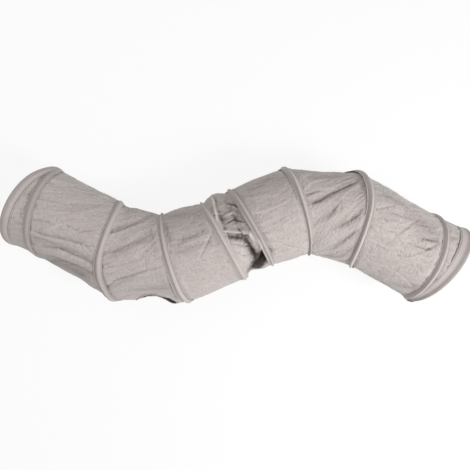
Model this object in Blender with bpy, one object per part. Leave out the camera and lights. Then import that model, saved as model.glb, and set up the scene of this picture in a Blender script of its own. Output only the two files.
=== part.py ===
"""Collapsible cat tunnel: a fabric tube held open by one spiral of spring wire.

The wire runs in a sewn casing that winds round the outside of the fabric for seven and a half
turns, and a full loop of wire holds each mouth open. The tunnel lies on the floor in a shallow S,
bent at four of its sections and slack in the middle one. Metres, +Z up, floor at z = 0.

The tunnel folds and bends like a folding screen. Each half turn of the winding is a leg: an arch
over the top or its fellow along the floor. Two legs meet at a side of the tube, and turn there
about an upright axis.

A place on the tube is given by three numbers: its distance along the route, its angle round the
tube (0 on the far side, 90 on top, 180 on the near side, 270 on the floor) and its radius.
"""

import math

import bpy
from mathutils import Vector

for leftover in list(bpy.data.objects):
    bpy.data.objects.remove(leftover, do_unlink=True)

# Driving dimensions, in metres and degrees
TUNNEL_DIAMETER = 0.250  # over the casing
WIRE_DIAMETER = 0.0022
CASING_RADIUS = 0.0045  # to the corners of the eight-sided bead
CASING_BORE_RADIUS = 0.0016
FABRIC_THICKNESS = 0.0012
GAP = 0.0003  # between pieces that touch

# The route, from the left mouth to the right one. A section runs from the top of one turn to the
# top of the next, with its length along the axis and how far the heading turns in it.
FIRST_HEADING = -26.8
LEAD_IN = 0.0505  # left mouth's wire to the top of the first turn
LEAD_IN_BEND = 1.5
SECTION_LENGTHS = (0.204, 0.1735, 0.147, 0.085, 0.137, 0.168, 0.210)
SECTION_BENDS = (-6.5, 44.0, 14.5, 0.5, -15.5, -42.0, 1.0)
LEAD_OUT = 0.0415  # top of the last turn to the right mouth's wire
LEAD_OUT_BEND = -4.5
TURNS = len(SECTION_LENGTHS) + 1

# How far along the route each turn's far side lies before its top, and its near side beyond it
FAR_BEFORE = (0.033, 0.053, 0.017, 0.0135, 0.010, 0.0135, 0.0475, 0.036)
NEAR_BEYOND = (0.036, 0.0545, 0.012, 0.006, 0.008, 0.0185, 0.052, 0.0215)
LEGS_OF_WIRE = 2 * TURNS - 1
ROOT_LEG = LEGS_OF_WIRE // 2

# Each mouth's hem: a flat casing, thick over the wire and thin at its stitched edge
HEM_EDGE = 0.0045  # mouth edge to wire
HEM_STITCH = 0.0125  # wire to stitched edge
HEM_INNER_RADIUS = 0.1168
HEM_CORNERS = (  # (from the wire towards the stitching, out from the wire), in metres
    (-0.0033, -0.0040),
    (0.0125, -0.0040),
    (0.0125, -0.0018),
    (0.0050, 0.0032),
    (0.0015, 0.0041),
    (-0.0015, 0.0041),
    (-0.0037, 0.0025),
    (-0.0045, 0.0000),
)
HEM_BORE_CORNERS = (
    (-0.0024, -0.0024),
    (0.0058, -0.0024),
    (0.0058, 0.0016),
    (0.0030, 0.0024),
    (-0.0020, 0.0024),
)
MOUTH_LEAN = 0.0075  # how far a mouth's top leans outwards and its foot inwards
LOOP_OVERLAP = 0.0035  # between the two ends of a mouth's wire, which lie side by side
SLEEVE_LENGTH = 0.012
SLEEVE_WIDTH = 0.0068
SLEEVE_HEIGHT = 0.0040
SLEEVE_BEVEL = 0.0008

# Fabric folds: depths in metres, places and twists in degrees
PANEL_ROWS = 3
NECK_DEPTH = 0.0030  # how far a taut panel draws in between its turns
FOLD_DEPTH = 0.0040
FOLDS_ROUND = 7
FOLD_TWIST = 80.0
FOLD_STAGGER = 97.0  # from one section to the next
SLACK_SECTION = 4
SLACK_ROWS = 6
SLACK_RECESS = 0.017  # the loose panel sinks this far between its turns
SLACK_RECESS_AT = 75.0
SLACK_RIPPLE = 0.45  # share of the recess that the ripples take away
SLACK_RIPPLES_ROUND = 9
SLACK_TWIST = 286.0
SLACK_CREASE = 0.020  # one deeper crease, on the near side
SLACK_CREASE_AT = 150.0
SLACK_CREASE_SLANT = 60.0
SLACK_CREASE_WIDTH = 18.0

# Round peephole in the near side of one panel, bound with tape
PEEPHOLE_SECTION = 2
PEEPHOLE_PLACE = 0.55  # of the way from one turn to the next, on the near side
PEEPHOLE_RADIUS = 0.053
BINDING_WIDTH = 0.0055
BINDING_THICKNESS = 0.0030
PEEPHOLE_CORNERS = 28
CUTTER_REACH = 0.020  # inwards and outwards from the panel

# Closing tie: a ribbon sewn at its middle to the right mouth's hem, with two tails
TIE_WIDTH = 0.010
TIE_THICKNESS = 0.0009
TIE_TAILS = (0.098, 0.090)
TIE_SEWN = 0.012  # length of the stitched middle
TIE_SPLAY = 0.0075  # each tail's foot stands this far from the middle line
TIE_SPLAY_AT_TOP = 0.7  # share of that where the tail leaves the hem
TIE_SWAY = 0.0030
TIE_INSET = 0.0020  # from the mouth's wire, over the hem
TIE_STEPS = 6

# Limits of the folding
FOLDED_SPACING = 0.034  # between two turns on the side where they close
TAUT_SPACING = 0.245  # between two turns where the fabric is drawn tight

# Facets: 11 to a half turn put one of them flat on the floor
HALF_TURN_STEPS = 11
STEP = 180.0 / HALF_TURN_STEPS
OUTER_RADIUS = TUNNEL_DIAMETER / 2
AXIS_HEIGHT = OUTER_RADIUS * math.cos(math.radians(STEP / 2))
WIRE_RADIUS_AT = OUTER_RADIUS - CASING_RADIUS * math.cos(math.radians(22.5))
FABRIC_OUTER = WIRE_RADIUS_AT - CASING_RADIUS * math.cos(math.radians(22.5)) - 2 * GAP

COLOURS = {
    "taupe_fabric": ((0.47, 0.43, 0.42, 1.0), 0.85, 0.0),
    "casing_tape": ((0.50, 0.46, 0.45, 1.0), 0.80, 0.0),
    "spring_wire": ((0.55, 0.55, 0.56, 1.0), 0.35, 1.0),
    "crimp_steel": ((0.62, 0.62, 0.63, 1.0), 0.30, 1.0),
    "black_ribbon": ((0.03, 0.03, 0.03, 1.0), 0.75, 0.0),
}
PIECES = []  # (name, points, faces, body, material), placed once the footprint is known


def turn_tops():
    """Distance along the route of the top of each turn."""
    tops = [LEAD_IN]
    for length in SECTION_LENGTHS:
        tops.append(tops[-1] + length)
    return tops


TOPS = turn_tops()
ROUTE_LENGTH = TOPS[-1] + LEAD_OUT


def route_legs():
    """Arcs of the route as (start distance, length, bend in radians, start point, start heading)."""
    lengths = [LEAD_IN, *SECTION_LENGTHS, LEAD_OUT]
    bends = [LEAD_IN_BEND, *SECTION_BENDS, LEAD_OUT_BEND]
    legs = []
    start, at, heading = 0.0, Vector((0.0, 0.0)), math.radians(FIRST_HEADING)
    for length, bend in zip(lengths, bends):
        turn = math.radians(bend)
        legs.append((start, length, turn, at, heading))
        at = leg_point(legs[-1], length)[0]
        start += length
        heading += turn
    return legs


def leg_point(leg, along):
    """Plan point and heading at a distance along one arc."""
    _, length, turn, at, heading = leg
    ahead = heading + turn * along / length
    middle = (heading + ahead) / 2
    half = (ahead - heading) / 2
    chord = along if abs(half) < 1e-9 else along * math.sin(half) / half
    return at + chord * Vector((math.cos(middle), math.sin(middle))), ahead


def route_at(distance):
    """Plan point and heading at a distance along the whole route, straight on past its ends."""
    leg = LEGS[0]
    for candidate in LEGS:
        if distance >= candidate[0]:
            leg = candidate
    along = distance - leg[0]
    if 0 <= along <= leg[1]:
        return leg_point(leg, along)
    end = min(max(along, 0.0), leg[1])
    at, heading = leg_point(leg, end)
    return at + (along - end) * Vector((math.cos(heading), math.sin(heading))), heading


LEGS = route_legs()


def tube_point(distance, angle, radius):
    """World point of a place on the tube."""
    at, heading = route_at(distance)
    turned = math.radians(angle)
    side = radius * math.cos(turned)
    return Vector(
        (
            at.x - side * math.sin(heading),
            at.y + side * math.cos(heading),
            AXIS_HEIGHT + radius * math.sin(turned),
        )
    )


def winding_knots():
    """Winding angle and distance along the route of each turn's far side, top and near side."""
    knots = []
    for turn, top in enumerate(TOPS):
        knots.append((360.0 * turn, top - FAR_BEFORE[turn]))
        knots.append((360.0 * turn + 90.0, top))
        knots.append((360.0 * turn + 180.0, top + NEAR_BEYOND[turn]))
    return knots


KNOTS = winding_knots()


def rise_between(knot):
    """Distance along the route per degree of winding, from one knot to the next."""
    return (KNOTS[knot + 1][1] - KNOTS[knot][1]) / (KNOTS[knot + 1][0] - KNOTS[knot][0])


def rise_at(knot):
    """The same at a knot: the harmonic mean of the two sides, so that the winding never turns back."""
    if knot == 0:
        return rise_between(0)
    if knot == len(KNOTS) - 1:
        return rise_between(knot - 1)
    before, after = rise_between(knot - 1), rise_between(knot)
    return 2 * before * after / (before + after)


def winding_distance(winding):
    """Distance along the route of the wire, where winding is its angle in all, 0 at its start.

    A cubic carries it from each knot to the next."""
    knot = 0
    while knot < len(KNOTS) - 2 and winding > KNOTS[knot + 1][0]:
        knot += 1
    (start_angle, start), (end_angle, end) = KNOTS[knot], KNOTS[knot + 1]
    span = end_angle - start_angle
    share = (winding - start_angle) / span
    square, cube = share * share, share * share * share
    return (
        (2 * cube - 3 * square + 1) * start
        + (cube - 2 * square + share) * span * rise_at(knot)
        + (3 * square - 2 * cube) * end
        + (cube - square) * span * rise_at(knot + 1)
    )


def seam_distance(turn, angle):
    """Where two panels meet at a turn: under the casing on top, and its mirror image below."""
    angle = angle % 360.0
    over = angle if angle <= 180.0 else 360.0 - angle
    return winding_distance(360.0 * turn + over)


def facet_radius(radius, angle):
    """Radius of the flat-sided tube that has its corners at that radius, STEP degrees apart."""
    off = math.radians((angle % STEP) - STEP / 2)
    return radius * math.cos(math.radians(STEP / 2)) / math.cos(off)


def polygon(sides, radius, turned):
    """Corners of a regular profile as (along, out) pairs, anticlockwise."""
    corners = []
    for corner in range(sides):
        at = math.radians(360.0 * corner / sides + turned)
        corners.append((radius * math.cos(at), radius * math.sin(at)))
    return corners


CASING_PROFILE = polygon(8, CASING_RADIUS, 22.5)
CASING_BORE = polygon(6, CASING_BORE_RADIUS, 0.0)
WIRE_PROFILE = polygon(6, WIRE_DIAMETER / 2, 0.0)


def bands(rings, loops):
    """Quads between neighbouring rings of points. With loops set, the last ring meets the first."""
    count, size = len(rings), len(rings[0])
    faces = []
    for ring in range(count if loops else count - 1):
        following = (ring + 1) % count
        here, there = rings[ring], rings[following]
        for point in range(size):
            after = (point + 1) % size
            faces.append((here[point], here[after], there[after], there[point]))
    return faces


def cap(outer, bore):
    """Faces that close an end: a plain polygon, or triangles between an outline and its bore."""
    if not bore:
        return [tuple(outer)]
    faces = []
    inner_at, outer_at = 0, 0
    while outer_at < len(outer) or inner_at < len(bore):
        next_outer = (outer_at + 1) / len(outer)
        next_inner = (inner_at + 1) / len(bore)
        here, there = outer[outer_at % len(outer)], bore[inner_at % len(bore)]
        if next_outer <= next_inner:
            faces.append((here, outer[(outer_at + 1) % len(outer)], there))
            outer_at += 1
        else:
            faces.append((here, bore[(inner_at + 1) % len(bore)], there))
            inner_at += 1
    return faces


def sweep(name, places, profile, bore, body, material):
    """A bead along the tube. Each place is (distance, angle, radius) of the profile's centre."""
    points, outer, inner = [], [], []
    for distance, angle, radius in places:
        for outline, rings in ((profile, outer), (bore, inner)):
            first = len(points)
            for along, out in outline:
                points.append(tube_point(distance + along, angle, radius + out))
            rings.append(list(range(first, len(points))))
    faces = bands(outer, False)
    if bore:
        faces += [face[::-1] for face in bands(inner, False)]
    faces += [face[::-1] for face in cap(outer[0], inner[0])]
    faces += cap(outer[-1], inner[-1])
    PIECES.append((name, points, faces, body, material))


def winding_places(first, last):
    """Places of the wire between two winding angles, a step apart, and short of a cut end by a gap."""
    inset = math.degrees(GAP / OUTER_RADIUS)
    steps = round((last - first) / STEP)
    places = []
    for step in range(steps + 1):
        winding = first + (last - first) * step / steps
        angle = winding
        if step == 0:
            angle = winding + inset
        elif step == steps:
            angle = winding - inset
        places.append((winding_distance(angle), angle, WIRE_RADIUS_AT))
    return places


def leg_name(leg):
    """Body of a half turn: arches and floors by turns, and the mouths beyond the first and last."""
    if leg < 0:
        return "mouth_left"
    if leg >= LEGS_OF_WIRE:
        return "mouth_right"
    return f"{('arch', 'floor')[leg % 2]}_{leg // 2 + 1}"


def spring_and_casing(leg):
    """A half turn of the spring wire in its casing."""
    places = winding_places(180.0 * leg, 180.0 * (leg + 1))
    body = leg_name(leg)
    sweep(f"casing_{body}", places, CASING_PROFILE, CASING_BORE, body, "casing_tape")
    sweep(f"wire_{body}", places, WIRE_PROFILE, [], body, "spring_wire")


def wave(degrees):
    """A smooth swell between 0 and 1, with its crest at 0 degrees."""
    return 0.5 + 0.5 * math.cos(math.radians(degrees))


def fold(section, angle, share):
    """How far a panel's folds sink in, where share runs from 0 at one seam to 1 at the next."""
    swell = math.sin(math.pi * share)
    if section == SLACK_SECTION:
        recess = SLACK_RECESS * wave(angle - SLACK_RECESS_AT)
        ripple = 1 - SLACK_RIPPLE * wave(SLACK_RIPPLES_ROUND * angle + SLACK_TWIST * share)
        off_crease = angle - SLACK_CREASE_AT - SLACK_CREASE_SLANT * (0.5 - share)
        crease = SLACK_CREASE * share * math.exp(-((off_crease / SLACK_CREASE_WIDTH) ** 2))
        return swell * (recess * ripple + crease)
    lean_of_folds = FOLD_TWIST * (share - 0.5) * (1 if section % 2 else -1)
    sunk = wave(FOLDS_ROUND * angle + lean_of_folds + FOLD_STAGGER * section)
    return swell * (NECK_DEPTH + FOLD_DEPTH * sunk * sunk)


def panel(name, section, start_at, end_at, rows, body):
    """A ring of fabric between two seams, each given as a function of the angle."""
    stations = 4 * HALF_TURN_STEPS
    points, outer, inner = [], [], []
    for row in range(rows + 1):
        share = row / rows
        for rings, inset in ((outer, 0.0), (inner, FABRIC_THICKNESS)):
            first = len(points)
            for station in range(stations):
                angle = 360.0 * station / stations
                start, end = start_at(angle) + GAP, end_at(angle) - GAP
                radius = facet_radius(FABRIC_OUTER, angle) - inset - fold(section, angle, share)
                points.append(tube_point(start + share * (end - start), angle, radius))
            rings.append(list(range(first, len(points))))
    faces = bands(outer, False)
    faces += [face[::-1] for face in bands(inner, False)]
    faces += bands([inner[0], outer[0]], False)
    faces += bands([outer[-1], inner[-1]], False)
    PIECES.append((name, points, faces, body, "taupe_fabric"))


def fabric_panels():
    """The tube's fabric, one panel to each section and one inside each mouth."""
    panel(
        "left_lead_in_panel",
        0,
        left_edge,
        lambda angle: seam_distance(0, angle),
        PANEL_ROWS,
        "mouth_left",
    )
    for section in range(1, TURNS):
        rows = SLACK_ROWS if section == SLACK_SECTION else PANEL_ROWS
        panel(
            f"fabric_panel_{section}",
            section,
            lambda angle, turn=section - 1: seam_distance(turn, angle),
            lambda angle, turn=section: seam_distance(turn, angle),
            rows,
            f"floor_{section}",
        )
    last = TURNS - 1
    panel(
        "right_lead_out_panel",
        TURNS,
        lambda angle: seam_distance(last, angle),
        right_edge,
        PANEL_ROWS,
        "mouth_right",
    )


def lean(angle):
    """How far outwards a mouth's plane lies at an angle: its top leans out and its foot in."""
    return MOUTH_LEAN * math.sin(math.radians(angle))


def left_edge(angle):
    return -lean(angle) - HEM_EDGE / 2


def right_edge(angle):
    return ROUTE_LENGTH + lean(angle) + HEM_EDGE / 2


def hem_outline(corners, side):
    """Corners of the hem's section as (along, out) pairs, for side -1 with its edge to the left."""
    if side < 0:
        return list(corners)
    return [(-along, out) for along, out in reversed(corners)]


def mouth(side, wire_at, seam_angle, body):
    """A mouth: its hem, its closed loop of wire and the steel sleeve that crimps the loop shut."""
    word = "left" if side < 0 else "right"
    outline, bore = hem_outline(HEM_CORNERS, side), hem_outline(HEM_BORE_CORNERS, side)
    ring = []
    inset = math.degrees(GAP / OUTER_RADIUS)
    for station in range(2 * HALF_TURN_STEPS + 1):
        angle = seam_angle + STEP * station
        if station == 0:
            angle += inset
        elif station == 2 * HALF_TURN_STEPS:
            angle -= inset
        ring.append((wire_at + side * lean(angle), angle, WIRE_RADIUS_AT))
    sweep(f"{word}_mouth_hem", ring, outline, bore, body, "casing_tape")
    steps = 2 * HALF_TURN_STEPS + 1
    loop = []
    for step in range(steps + 1):
        angle = seam_angle + STEP * step
        slip = -side * LOOP_OVERLAP * step / steps
        loop.append((wire_at + side * lean(angle) + slip, angle, WIRE_RADIUS_AT))
    sweep(f"{word}_mouth_wire", loop, WIRE_PROFILE, [], body, "spring_wire")
    crimp_sleeve(f"{word}_crimp_sleeve", wire_at, side, seam_angle + STEP / 2, body)


def crimp_sleeve(name, wire_at, side, angle, body):
    """A short block with two bores, round both ends of a mouth's wire where they pass each other."""
    reach = math.degrees(SLEEVE_LENGTH / 2 / WIRE_RADIUS_AT)
    chord = WIRE_RADIUS_AT * math.cos(math.radians(STEP / 2))
    middle = -side * LOOP_OVERLAP / 2
    bore_radius = WIRE_DIAMETER / 2 + GAP
    points, rings = [], []
    half_width, half_height = SLEEVE_WIDTH / 2, SLEEVE_HEIGHT / 2
    low_wall, low_face = half_height - SLEEVE_BEVEL, half_width - SLEEVE_BEVEL
    outline = [
        (half_width, -low_wall),
        (half_width, low_wall),
        (low_face, half_height),
        (0.0, half_height),
        (-low_face, half_height),
        (-half_width, low_wall),
        (-half_width, -low_wall),
        (-low_face, -half_height),
        (0.0, -half_height),
        (low_face, -half_height),
    ]
    bores = []
    for offset in (-LOOP_OVERLAP / 2, LOOP_OVERLAP / 2):
        bores.append([(offset + along, out) for along, out in polygon(8, bore_radius, 0.0)])
    for end in (-1, 1):
        turned = angle + end * reach
        straight = chord / math.cos(math.radians(end * reach))
        group = []
        for shape in (outline, *bores):
            first = len(points)
            for along, out in shape:
                place = wire_at + side * lean(turned) + middle + along
                points.append(tube_point(place, turned, straight + out))
            group.append(list(range(first, len(points))))
        rings.append(group)
    faces = bands([rings[0][0], rings[1][0]], False)
    for bore in (1, 2):
        faces += [face[::-1] for face in bands([rings[0][bore], rings[1][bore]], False)]
    for group, flip in ((rings[0], True), (rings[1], False)):
        for face in sleeve_end(group):
            faces.append(face[::-1] if flip else face)
    PIECES.append((name, points, faces, body, "crimp_steel"))


def sleeve_end(group):
    """The sleeve's end face as two halves, each with its own bore, meeting on the middle line."""
    outline, left, right = group
    right_half = outline[8:] + outline[:4]
    left_half = outline[3:9]
    turned_left = left[2:] + left[:2]
    turned_right = right[-2:] + right[:-2]
    return cap(right_half, turned_right) + cap(left_half, turned_left)


def tie():
    """The closing ribbon: its stitched middle lies on the hem and its tails hang to the floor."""
    top = AXIS_HEIGHT + TIE_SEWN / 2
    for tail, length in enumerate(TIE_TAILS):
        splay = TIE_SPLAY * (1 if tail else -1)
        points, rings = [], []
        for step in range(TIE_STEPS + 1):
            share = step / TIE_STEPS
            sway = TIE_SWAY * math.sin(math.pi * share)
            middle = ROUTE_LENGTH - TIE_INSET
            middle += splay * (TIE_SPLAY_AT_TOP + (1 - TIE_SPLAY_AT_TOP) * share)
            ring = []
            for along, thick in ((-1, 0), (1, 0), (1, 1), (-1, 1)):
                out = OUTER_RADIUS + GAP + thick * TIE_THICKNESS + sway
                at, heading = route_at(middle + along * TIE_WIDTH / 2)
                aside = out * Vector((math.sin(heading), -math.cos(heading)))
                points.append(Vector((at.x + aside.x, at.y + aside.y, top - length * share)))
                ring.append(len(points) - 1)
            rings.append(ring)
        faces = bands(rings, False) + [tuple(rings[0][::-1]), tuple(rings[-1])]
        PIECES.append((f"closing_tie_{tail + 1}", points, faces, "mouth_right", "black_ribbon"))


def peephole_middle():
    """Distance along the route of the peephole's centre."""
    first = winding_distance(360.0 * (PEEPHOLE_SECTION - 1) + 180.0)
    last = winding_distance(360.0 * PEEPHOLE_SECTION + 180.0)
    return first + PEEPHOLE_PLACE * (last - first)


def peephole_place(corner, reach):
    """Distance and angle of a corner of the peephole's outline, at a reach from its centre."""
    turned = math.tau * corner / PEEPHOLE_CORNERS
    bend = math.radians(SECTION_BENDS[PEEPHOLE_SECTION - 1])
    stretch = 1 + FABRIC_OUTER * bend / SECTION_LENGTHS[PEEPHOLE_SECTION - 1]
    distance = peephole_middle() + reach * math.cos(turned) / stretch
    return distance, 180.0 + math.degrees(reach * math.sin(turned) / FABRIC_OUTER)


def peephole_binding():
    """Tape bound round the peephole's edge, level with the panel."""
    section = PEEPHOLE_SECTION
    middle_level = FABRIC_OUTER - FABRIC_THICKNESS / 2
    points, rings = [], []
    for corner in range(PEEPHOLE_CORNERS):
        ring = []
        for reach, out in ((0.0, -0.5), (BINDING_WIDTH, -0.5), (BINDING_WIDTH, 0.5), (0.0, 0.5)):
            distance, angle = peephole_place(corner, PEEPHOLE_RADIUS + reach)
            start, end = seam_distance(section - 1, angle), seam_distance(section, angle)
            level = middle_level - fold(section, angle, (distance - start) / (end - start))
            points.append(tube_point(distance, angle, level + out * BINDING_THICKNESS))
            ring.append(len(points) - 1)
        rings.append(ring)
    body = f"floor_{section}"
    PIECES.append(("peephole_binding", points, bands(rings, True), body, "casing_tape"))


def peephole_cutter():
    """Prism that takes the peephole out of its panel."""
    points = []
    for radius in (FABRIC_OUTER - CUTTER_REACH, FABRIC_OUTER + CUTTER_REACH):
        for corner in range(PEEPHOLE_CORNERS):
            distance, angle = peephole_place(corner, PEEPHOLE_RADIUS + BINDING_WIDTH + 3 * GAP)
            points.append(tube_point(distance, angle, radius))
    inner = list(range(PEEPHOLE_CORNERS))
    outer = [PEEPHOLE_CORNERS + corner for corner in inner]
    faces = [face[::-1] for face in bands([inner, outer], False)]
    faces += [tuple(inner), tuple(outer[::-1])]
    return points, faces


def hinge_points():
    """Plan point of each fold: far side and near side by turns, from the left mouth to the right."""
    found = [tube_point(HEM_STITCH + GAP, 0.0, HEM_INNER_RADIUS)]
    for hinge in range(1, LEGS_OF_WIRE):
        winding = 180.0 * hinge
        found.append(tube_point(winding_distance(winding), winding, WIRE_RADIUS_AT))
    found.append(tube_point(ROUTE_LENGTH - HEM_STITCH - GAP, 180.0, HEM_INNER_RADIUS))
    return found


def leg_opening(before, here, after):
    """Angle in degrees between the two legs that meet at a fold, and the shorter leg's length."""
    back, ahead = (before - here).xy, (after - here).xy
    return math.degrees(back.angle(ahead)), min(back.length, ahead.length)


def print_folds(centre):
    """Each fold's place, and how far it can close and open from where it lies."""
    folds = hinge_points()
    for hinge in range(1, LEGS_OF_WIRE):
        opening, leg = leg_opening(folds[hinge - 1], folds[hinge], folds[hinge + 1])
        closed = math.degrees(2 * math.asin(FOLDED_SPACING / leg / 2))
        taut = math.degrees(2 * math.asin(TAUT_SPACING / leg / 2))
        at = [round(value, 4) for value in folds[hinge] - centre]
        limits = round(closed - opening, 1), round(taut - opening, 1)
        print("fold", hinge, leg_name(hinge - 1), leg_name(hinge), at, limits)
    for hinge, name in ((0, "mouth_left"), (LEGS_OF_WIRE, "mouth_right")):
        print("fold", hinge, name, [round(value, 4) for value in folds[hinge] - centre])


def joint_places():
    """Each body's parent, and the fold that joins it to that parent."""
    folds = hinge_points()
    foot = 180.0 * ROOT_LEG + 90.0
    root = tube_point(winding_distance(foot), foot, facet_radius(OUTER_RADIUS, foot))
    found = {leg_name(ROOT_LEG): (None, root)}
    for leg in range(ROOT_LEG - 1, -2, -1):
        found[leg_name(leg)] = (leg_name(leg + 1), folds[leg + 1])
    for leg in range(ROOT_LEG + 1, LEGS_OF_WIRE + 1):
        found[leg_name(leg)] = (leg_name(leg - 1), folds[leg])
    return found


def material(name):
    """A Principled material in the piece's colour, made once."""
    if name in bpy.data.materials:
        return bpy.data.materials[name]
    made = bpy.data.materials.new(name)
    made.use_nodes = True
    colour, roughness, metallic = COLOURS[name]
    shader = made.node_tree.nodes["Principled BSDF"]
    shader.inputs["Base Color"].default_value = colour
    shader.inputs["Roughness"].default_value = roughness
    shader.inputs["Metallic"].default_value = metallic
    return made


def footprint_centre():
    """Middle of the whole object's plan, which becomes the origin."""
    plan = [point for _, points, _, _, _ in PIECES for point in points]
    low_x, high_x = min(p.x for p in plan), max(p.x for p in plan)
    low_y, high_y = min(p.y for p in plan), max(p.y for p in plan)
    return Vector(((low_x + high_x) / 2, (low_y + high_y) / 2, 0.0))


def place_everything():
    """Empties on the joints' axes, and every piece as an object under its body's empty."""
    centre = footprint_centre()
    joints = joint_places()
    empties = {}
    for body, (_, at) in joints.items():
        empty = bpy.data.objects.new(f"body_{body}", None)
        bpy.context.scene.collection.objects.link(empty)
        empties[body] = empty
    for body, (parent, at) in joints.items():
        if parent is None:
            empties[body].location = at - centre
        else:
            empties[body].parent = empties[parent]
            empties[body].location = at - joints[parent][1]
    for name, points, faces, body, finish in PIECES:
        origin = joints[body][1]
        mesh = bpy.data.meshes.new(name)
        mesh.from_pydata([point - origin for point in points], [], faces)
        mesh.materials.append(material(finish))
        mesh.validate()
        mesh.update()
        mesh.shade_smooth()
        mesh.set_sharp_from_angle(angle=math.radians(40))
        piece = bpy.data.objects.new(name, mesh)
        bpy.context.scene.collection.objects.link(piece)
        piece.parent = empties[body]
        if name == f"fabric_panel_{PEEPHOLE_SECTION}":
            cut_peephole(piece, origin)
    print_folds(centre)


def cut_peephole(piece, origin):
    """Takes the peephole out of its panel, which has its origin there."""
    points, faces = peephole_cutter()
    mesh = bpy.data.meshes.new("peephole_cutter")
    mesh.from_pydata([point - origin for point in points], [], faces)
    mesh.update()
    cutter = bpy.data.objects.new("peephole_cutter", mesh)
    bpy.context.scene.collection.objects.link(cutter)
    cutter.parent = piece.parent
    cutter.hide_render = True
    cutter.display_type = "WIRE"
    cut = piece.modifiers.new("peephole", "BOOLEAN")
    cut.operation = "DIFFERENCE"
    cut.object = cutter


def least_gap_in_winding():
    """Least clear space between one turn of the casing and the next, measured on its places."""
    least = ROUTE_LENGTH
    for step in range(2 * HALF_TURN_STEPS * (TURNS - 2)):
        winding = STEP * step
        here = tube_point(winding_distance(winding), winding, WIRE_RADIUS_AT)
        after = tube_point(winding_distance(winding + 360.0), winding + 360.0, WIRE_RADIUS_AT)
        least = min(least, (after - here).length - 2 * CASING_RADIUS)
    return least


for each_leg in range(LEGS_OF_WIRE):
    spring_and_casing(each_leg)
fabric_panels()
peephole_binding()
mouth(-1, 0.0, 0.0, "mouth_left")
mouth(1, ROUTE_LENGTH, 180.0, "mouth_right")
tie()
place_everything()
print("least gap between turns, mm:", round(1000 * least_gap_in_winding(), 1))
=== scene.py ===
import bpy
import numpy as np
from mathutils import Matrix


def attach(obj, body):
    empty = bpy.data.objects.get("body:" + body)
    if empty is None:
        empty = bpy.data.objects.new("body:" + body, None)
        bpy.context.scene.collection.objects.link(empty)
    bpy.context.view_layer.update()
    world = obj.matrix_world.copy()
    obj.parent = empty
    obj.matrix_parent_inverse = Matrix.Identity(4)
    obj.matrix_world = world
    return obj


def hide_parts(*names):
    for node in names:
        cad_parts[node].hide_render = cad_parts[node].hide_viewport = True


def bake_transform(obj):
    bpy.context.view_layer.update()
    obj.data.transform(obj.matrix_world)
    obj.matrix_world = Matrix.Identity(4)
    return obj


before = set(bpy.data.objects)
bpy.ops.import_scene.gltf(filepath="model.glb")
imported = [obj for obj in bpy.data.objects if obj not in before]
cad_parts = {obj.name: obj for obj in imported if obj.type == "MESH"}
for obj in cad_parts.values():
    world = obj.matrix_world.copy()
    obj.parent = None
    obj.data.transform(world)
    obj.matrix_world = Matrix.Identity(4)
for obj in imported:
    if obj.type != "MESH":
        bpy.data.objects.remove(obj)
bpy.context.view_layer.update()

# The tube: lengths in metres, angles in degrees. An angle of 0 is the far side, 90 the top,
# 180 the near side and 270 the floor. A winding is that angle counted on along the wire.
tube = {
    "firstHeading": -26.8,
    "arcLengths": (0.0505, 0.204, 0.1735, 0.147, 0.085, 0.137, 0.168, 0.210, 0.0415),
    "arcBends": (1.5, -6.5, 44.0, 14.5, 0.5, -15.5, -42.0, 1.0, -4.5),
    "farBefore": (0.033, 0.053, 0.017, 0.0135, 0.010, 0.0135, 0.0475, 0.036),
    "nearBeyond": (0.036, 0.0545, 0.012, 0.006, 0.008, 0.0185, 0.052, 0.0215),
    "middle": (0.563263, -0.084301),  # of the whole plan, where the frame has its origin
    "axisHeight": 0.12373,
    "wireRadius": 0.12084,
    "clothRadius": 0.1190,
    "mouthLean": (0.0075, 0.0040),
    "mouthSwing": (0.0035, 0.0045),  # how far each mouth turns its far side to the right, left mouth first
    "mouthShift": (0.0015, 0.0),
    "clothInset": 0.006,  # from a mouth's wire to the border of the cloth
    # where the wire stands out from its circle or in: place along the route, degrees round, metres out, and
    # how far it reaches along and round
    "swells": (
        (-0.004, 30.0, -0.0040, 0.030, 20.0),
        (0.050, 200.0, 0.0020, 0.045, 40.0),
        (0.298, 170.0, 0.0110, 0.022, 17.0),
        (0.390, 184.0, 0.0080, 0.026, 35.0),
        (0.446, 190.0, 0.0070, 0.020, 28.0),
        (0.413, 5.0, 0.0085, 0.028, 30.0),
        (0.560, 5.0, 0.0030, 0.010, 34.0),
        (0.775, 10.0, 0.0050, 0.030, 36.0),
        (0.815, 182.0, 0.0035, 0.024, 34.0),
        (0.985, 190.0, -0.0090, 0.034, 32.0),
        (1.017, 184.0, -0.0030, 0.015, 32.0),
        (0.924, 22.0, 0.0060, 0.020, 34.0),
        (1.165, 190.0, -0.0065, 0.030, 36.0),
        (1.220, 15.0, 0.0070, 0.032, 60.0),
        (1.225, 195.0, -0.0060, 0.032, 60.0),
    ),
}

arcLength = np.array(tube["arcLengths"])
arcBend = np.radians(tube["arcBends"])
arcStart = np.concatenate(([0.0], np.cumsum(arcLength)[:-1]))
arcHeading = np.radians(tube["firstHeading"]) + np.concatenate(([0.0], np.cumsum(arcBend)[:-1]))
arcChord = arcLength * np.sinc(arcBend / 2 / np.pi)
arcX = np.cumsum(np.concatenate(([0.0], arcChord * np.cos(arcHeading + arcBend / 2))))
arcY = np.cumsum(np.concatenate(([0.0], arcChord * np.sin(arcHeading + arcBend / 2))))
tubeLength = float(arcLength.sum())


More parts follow.
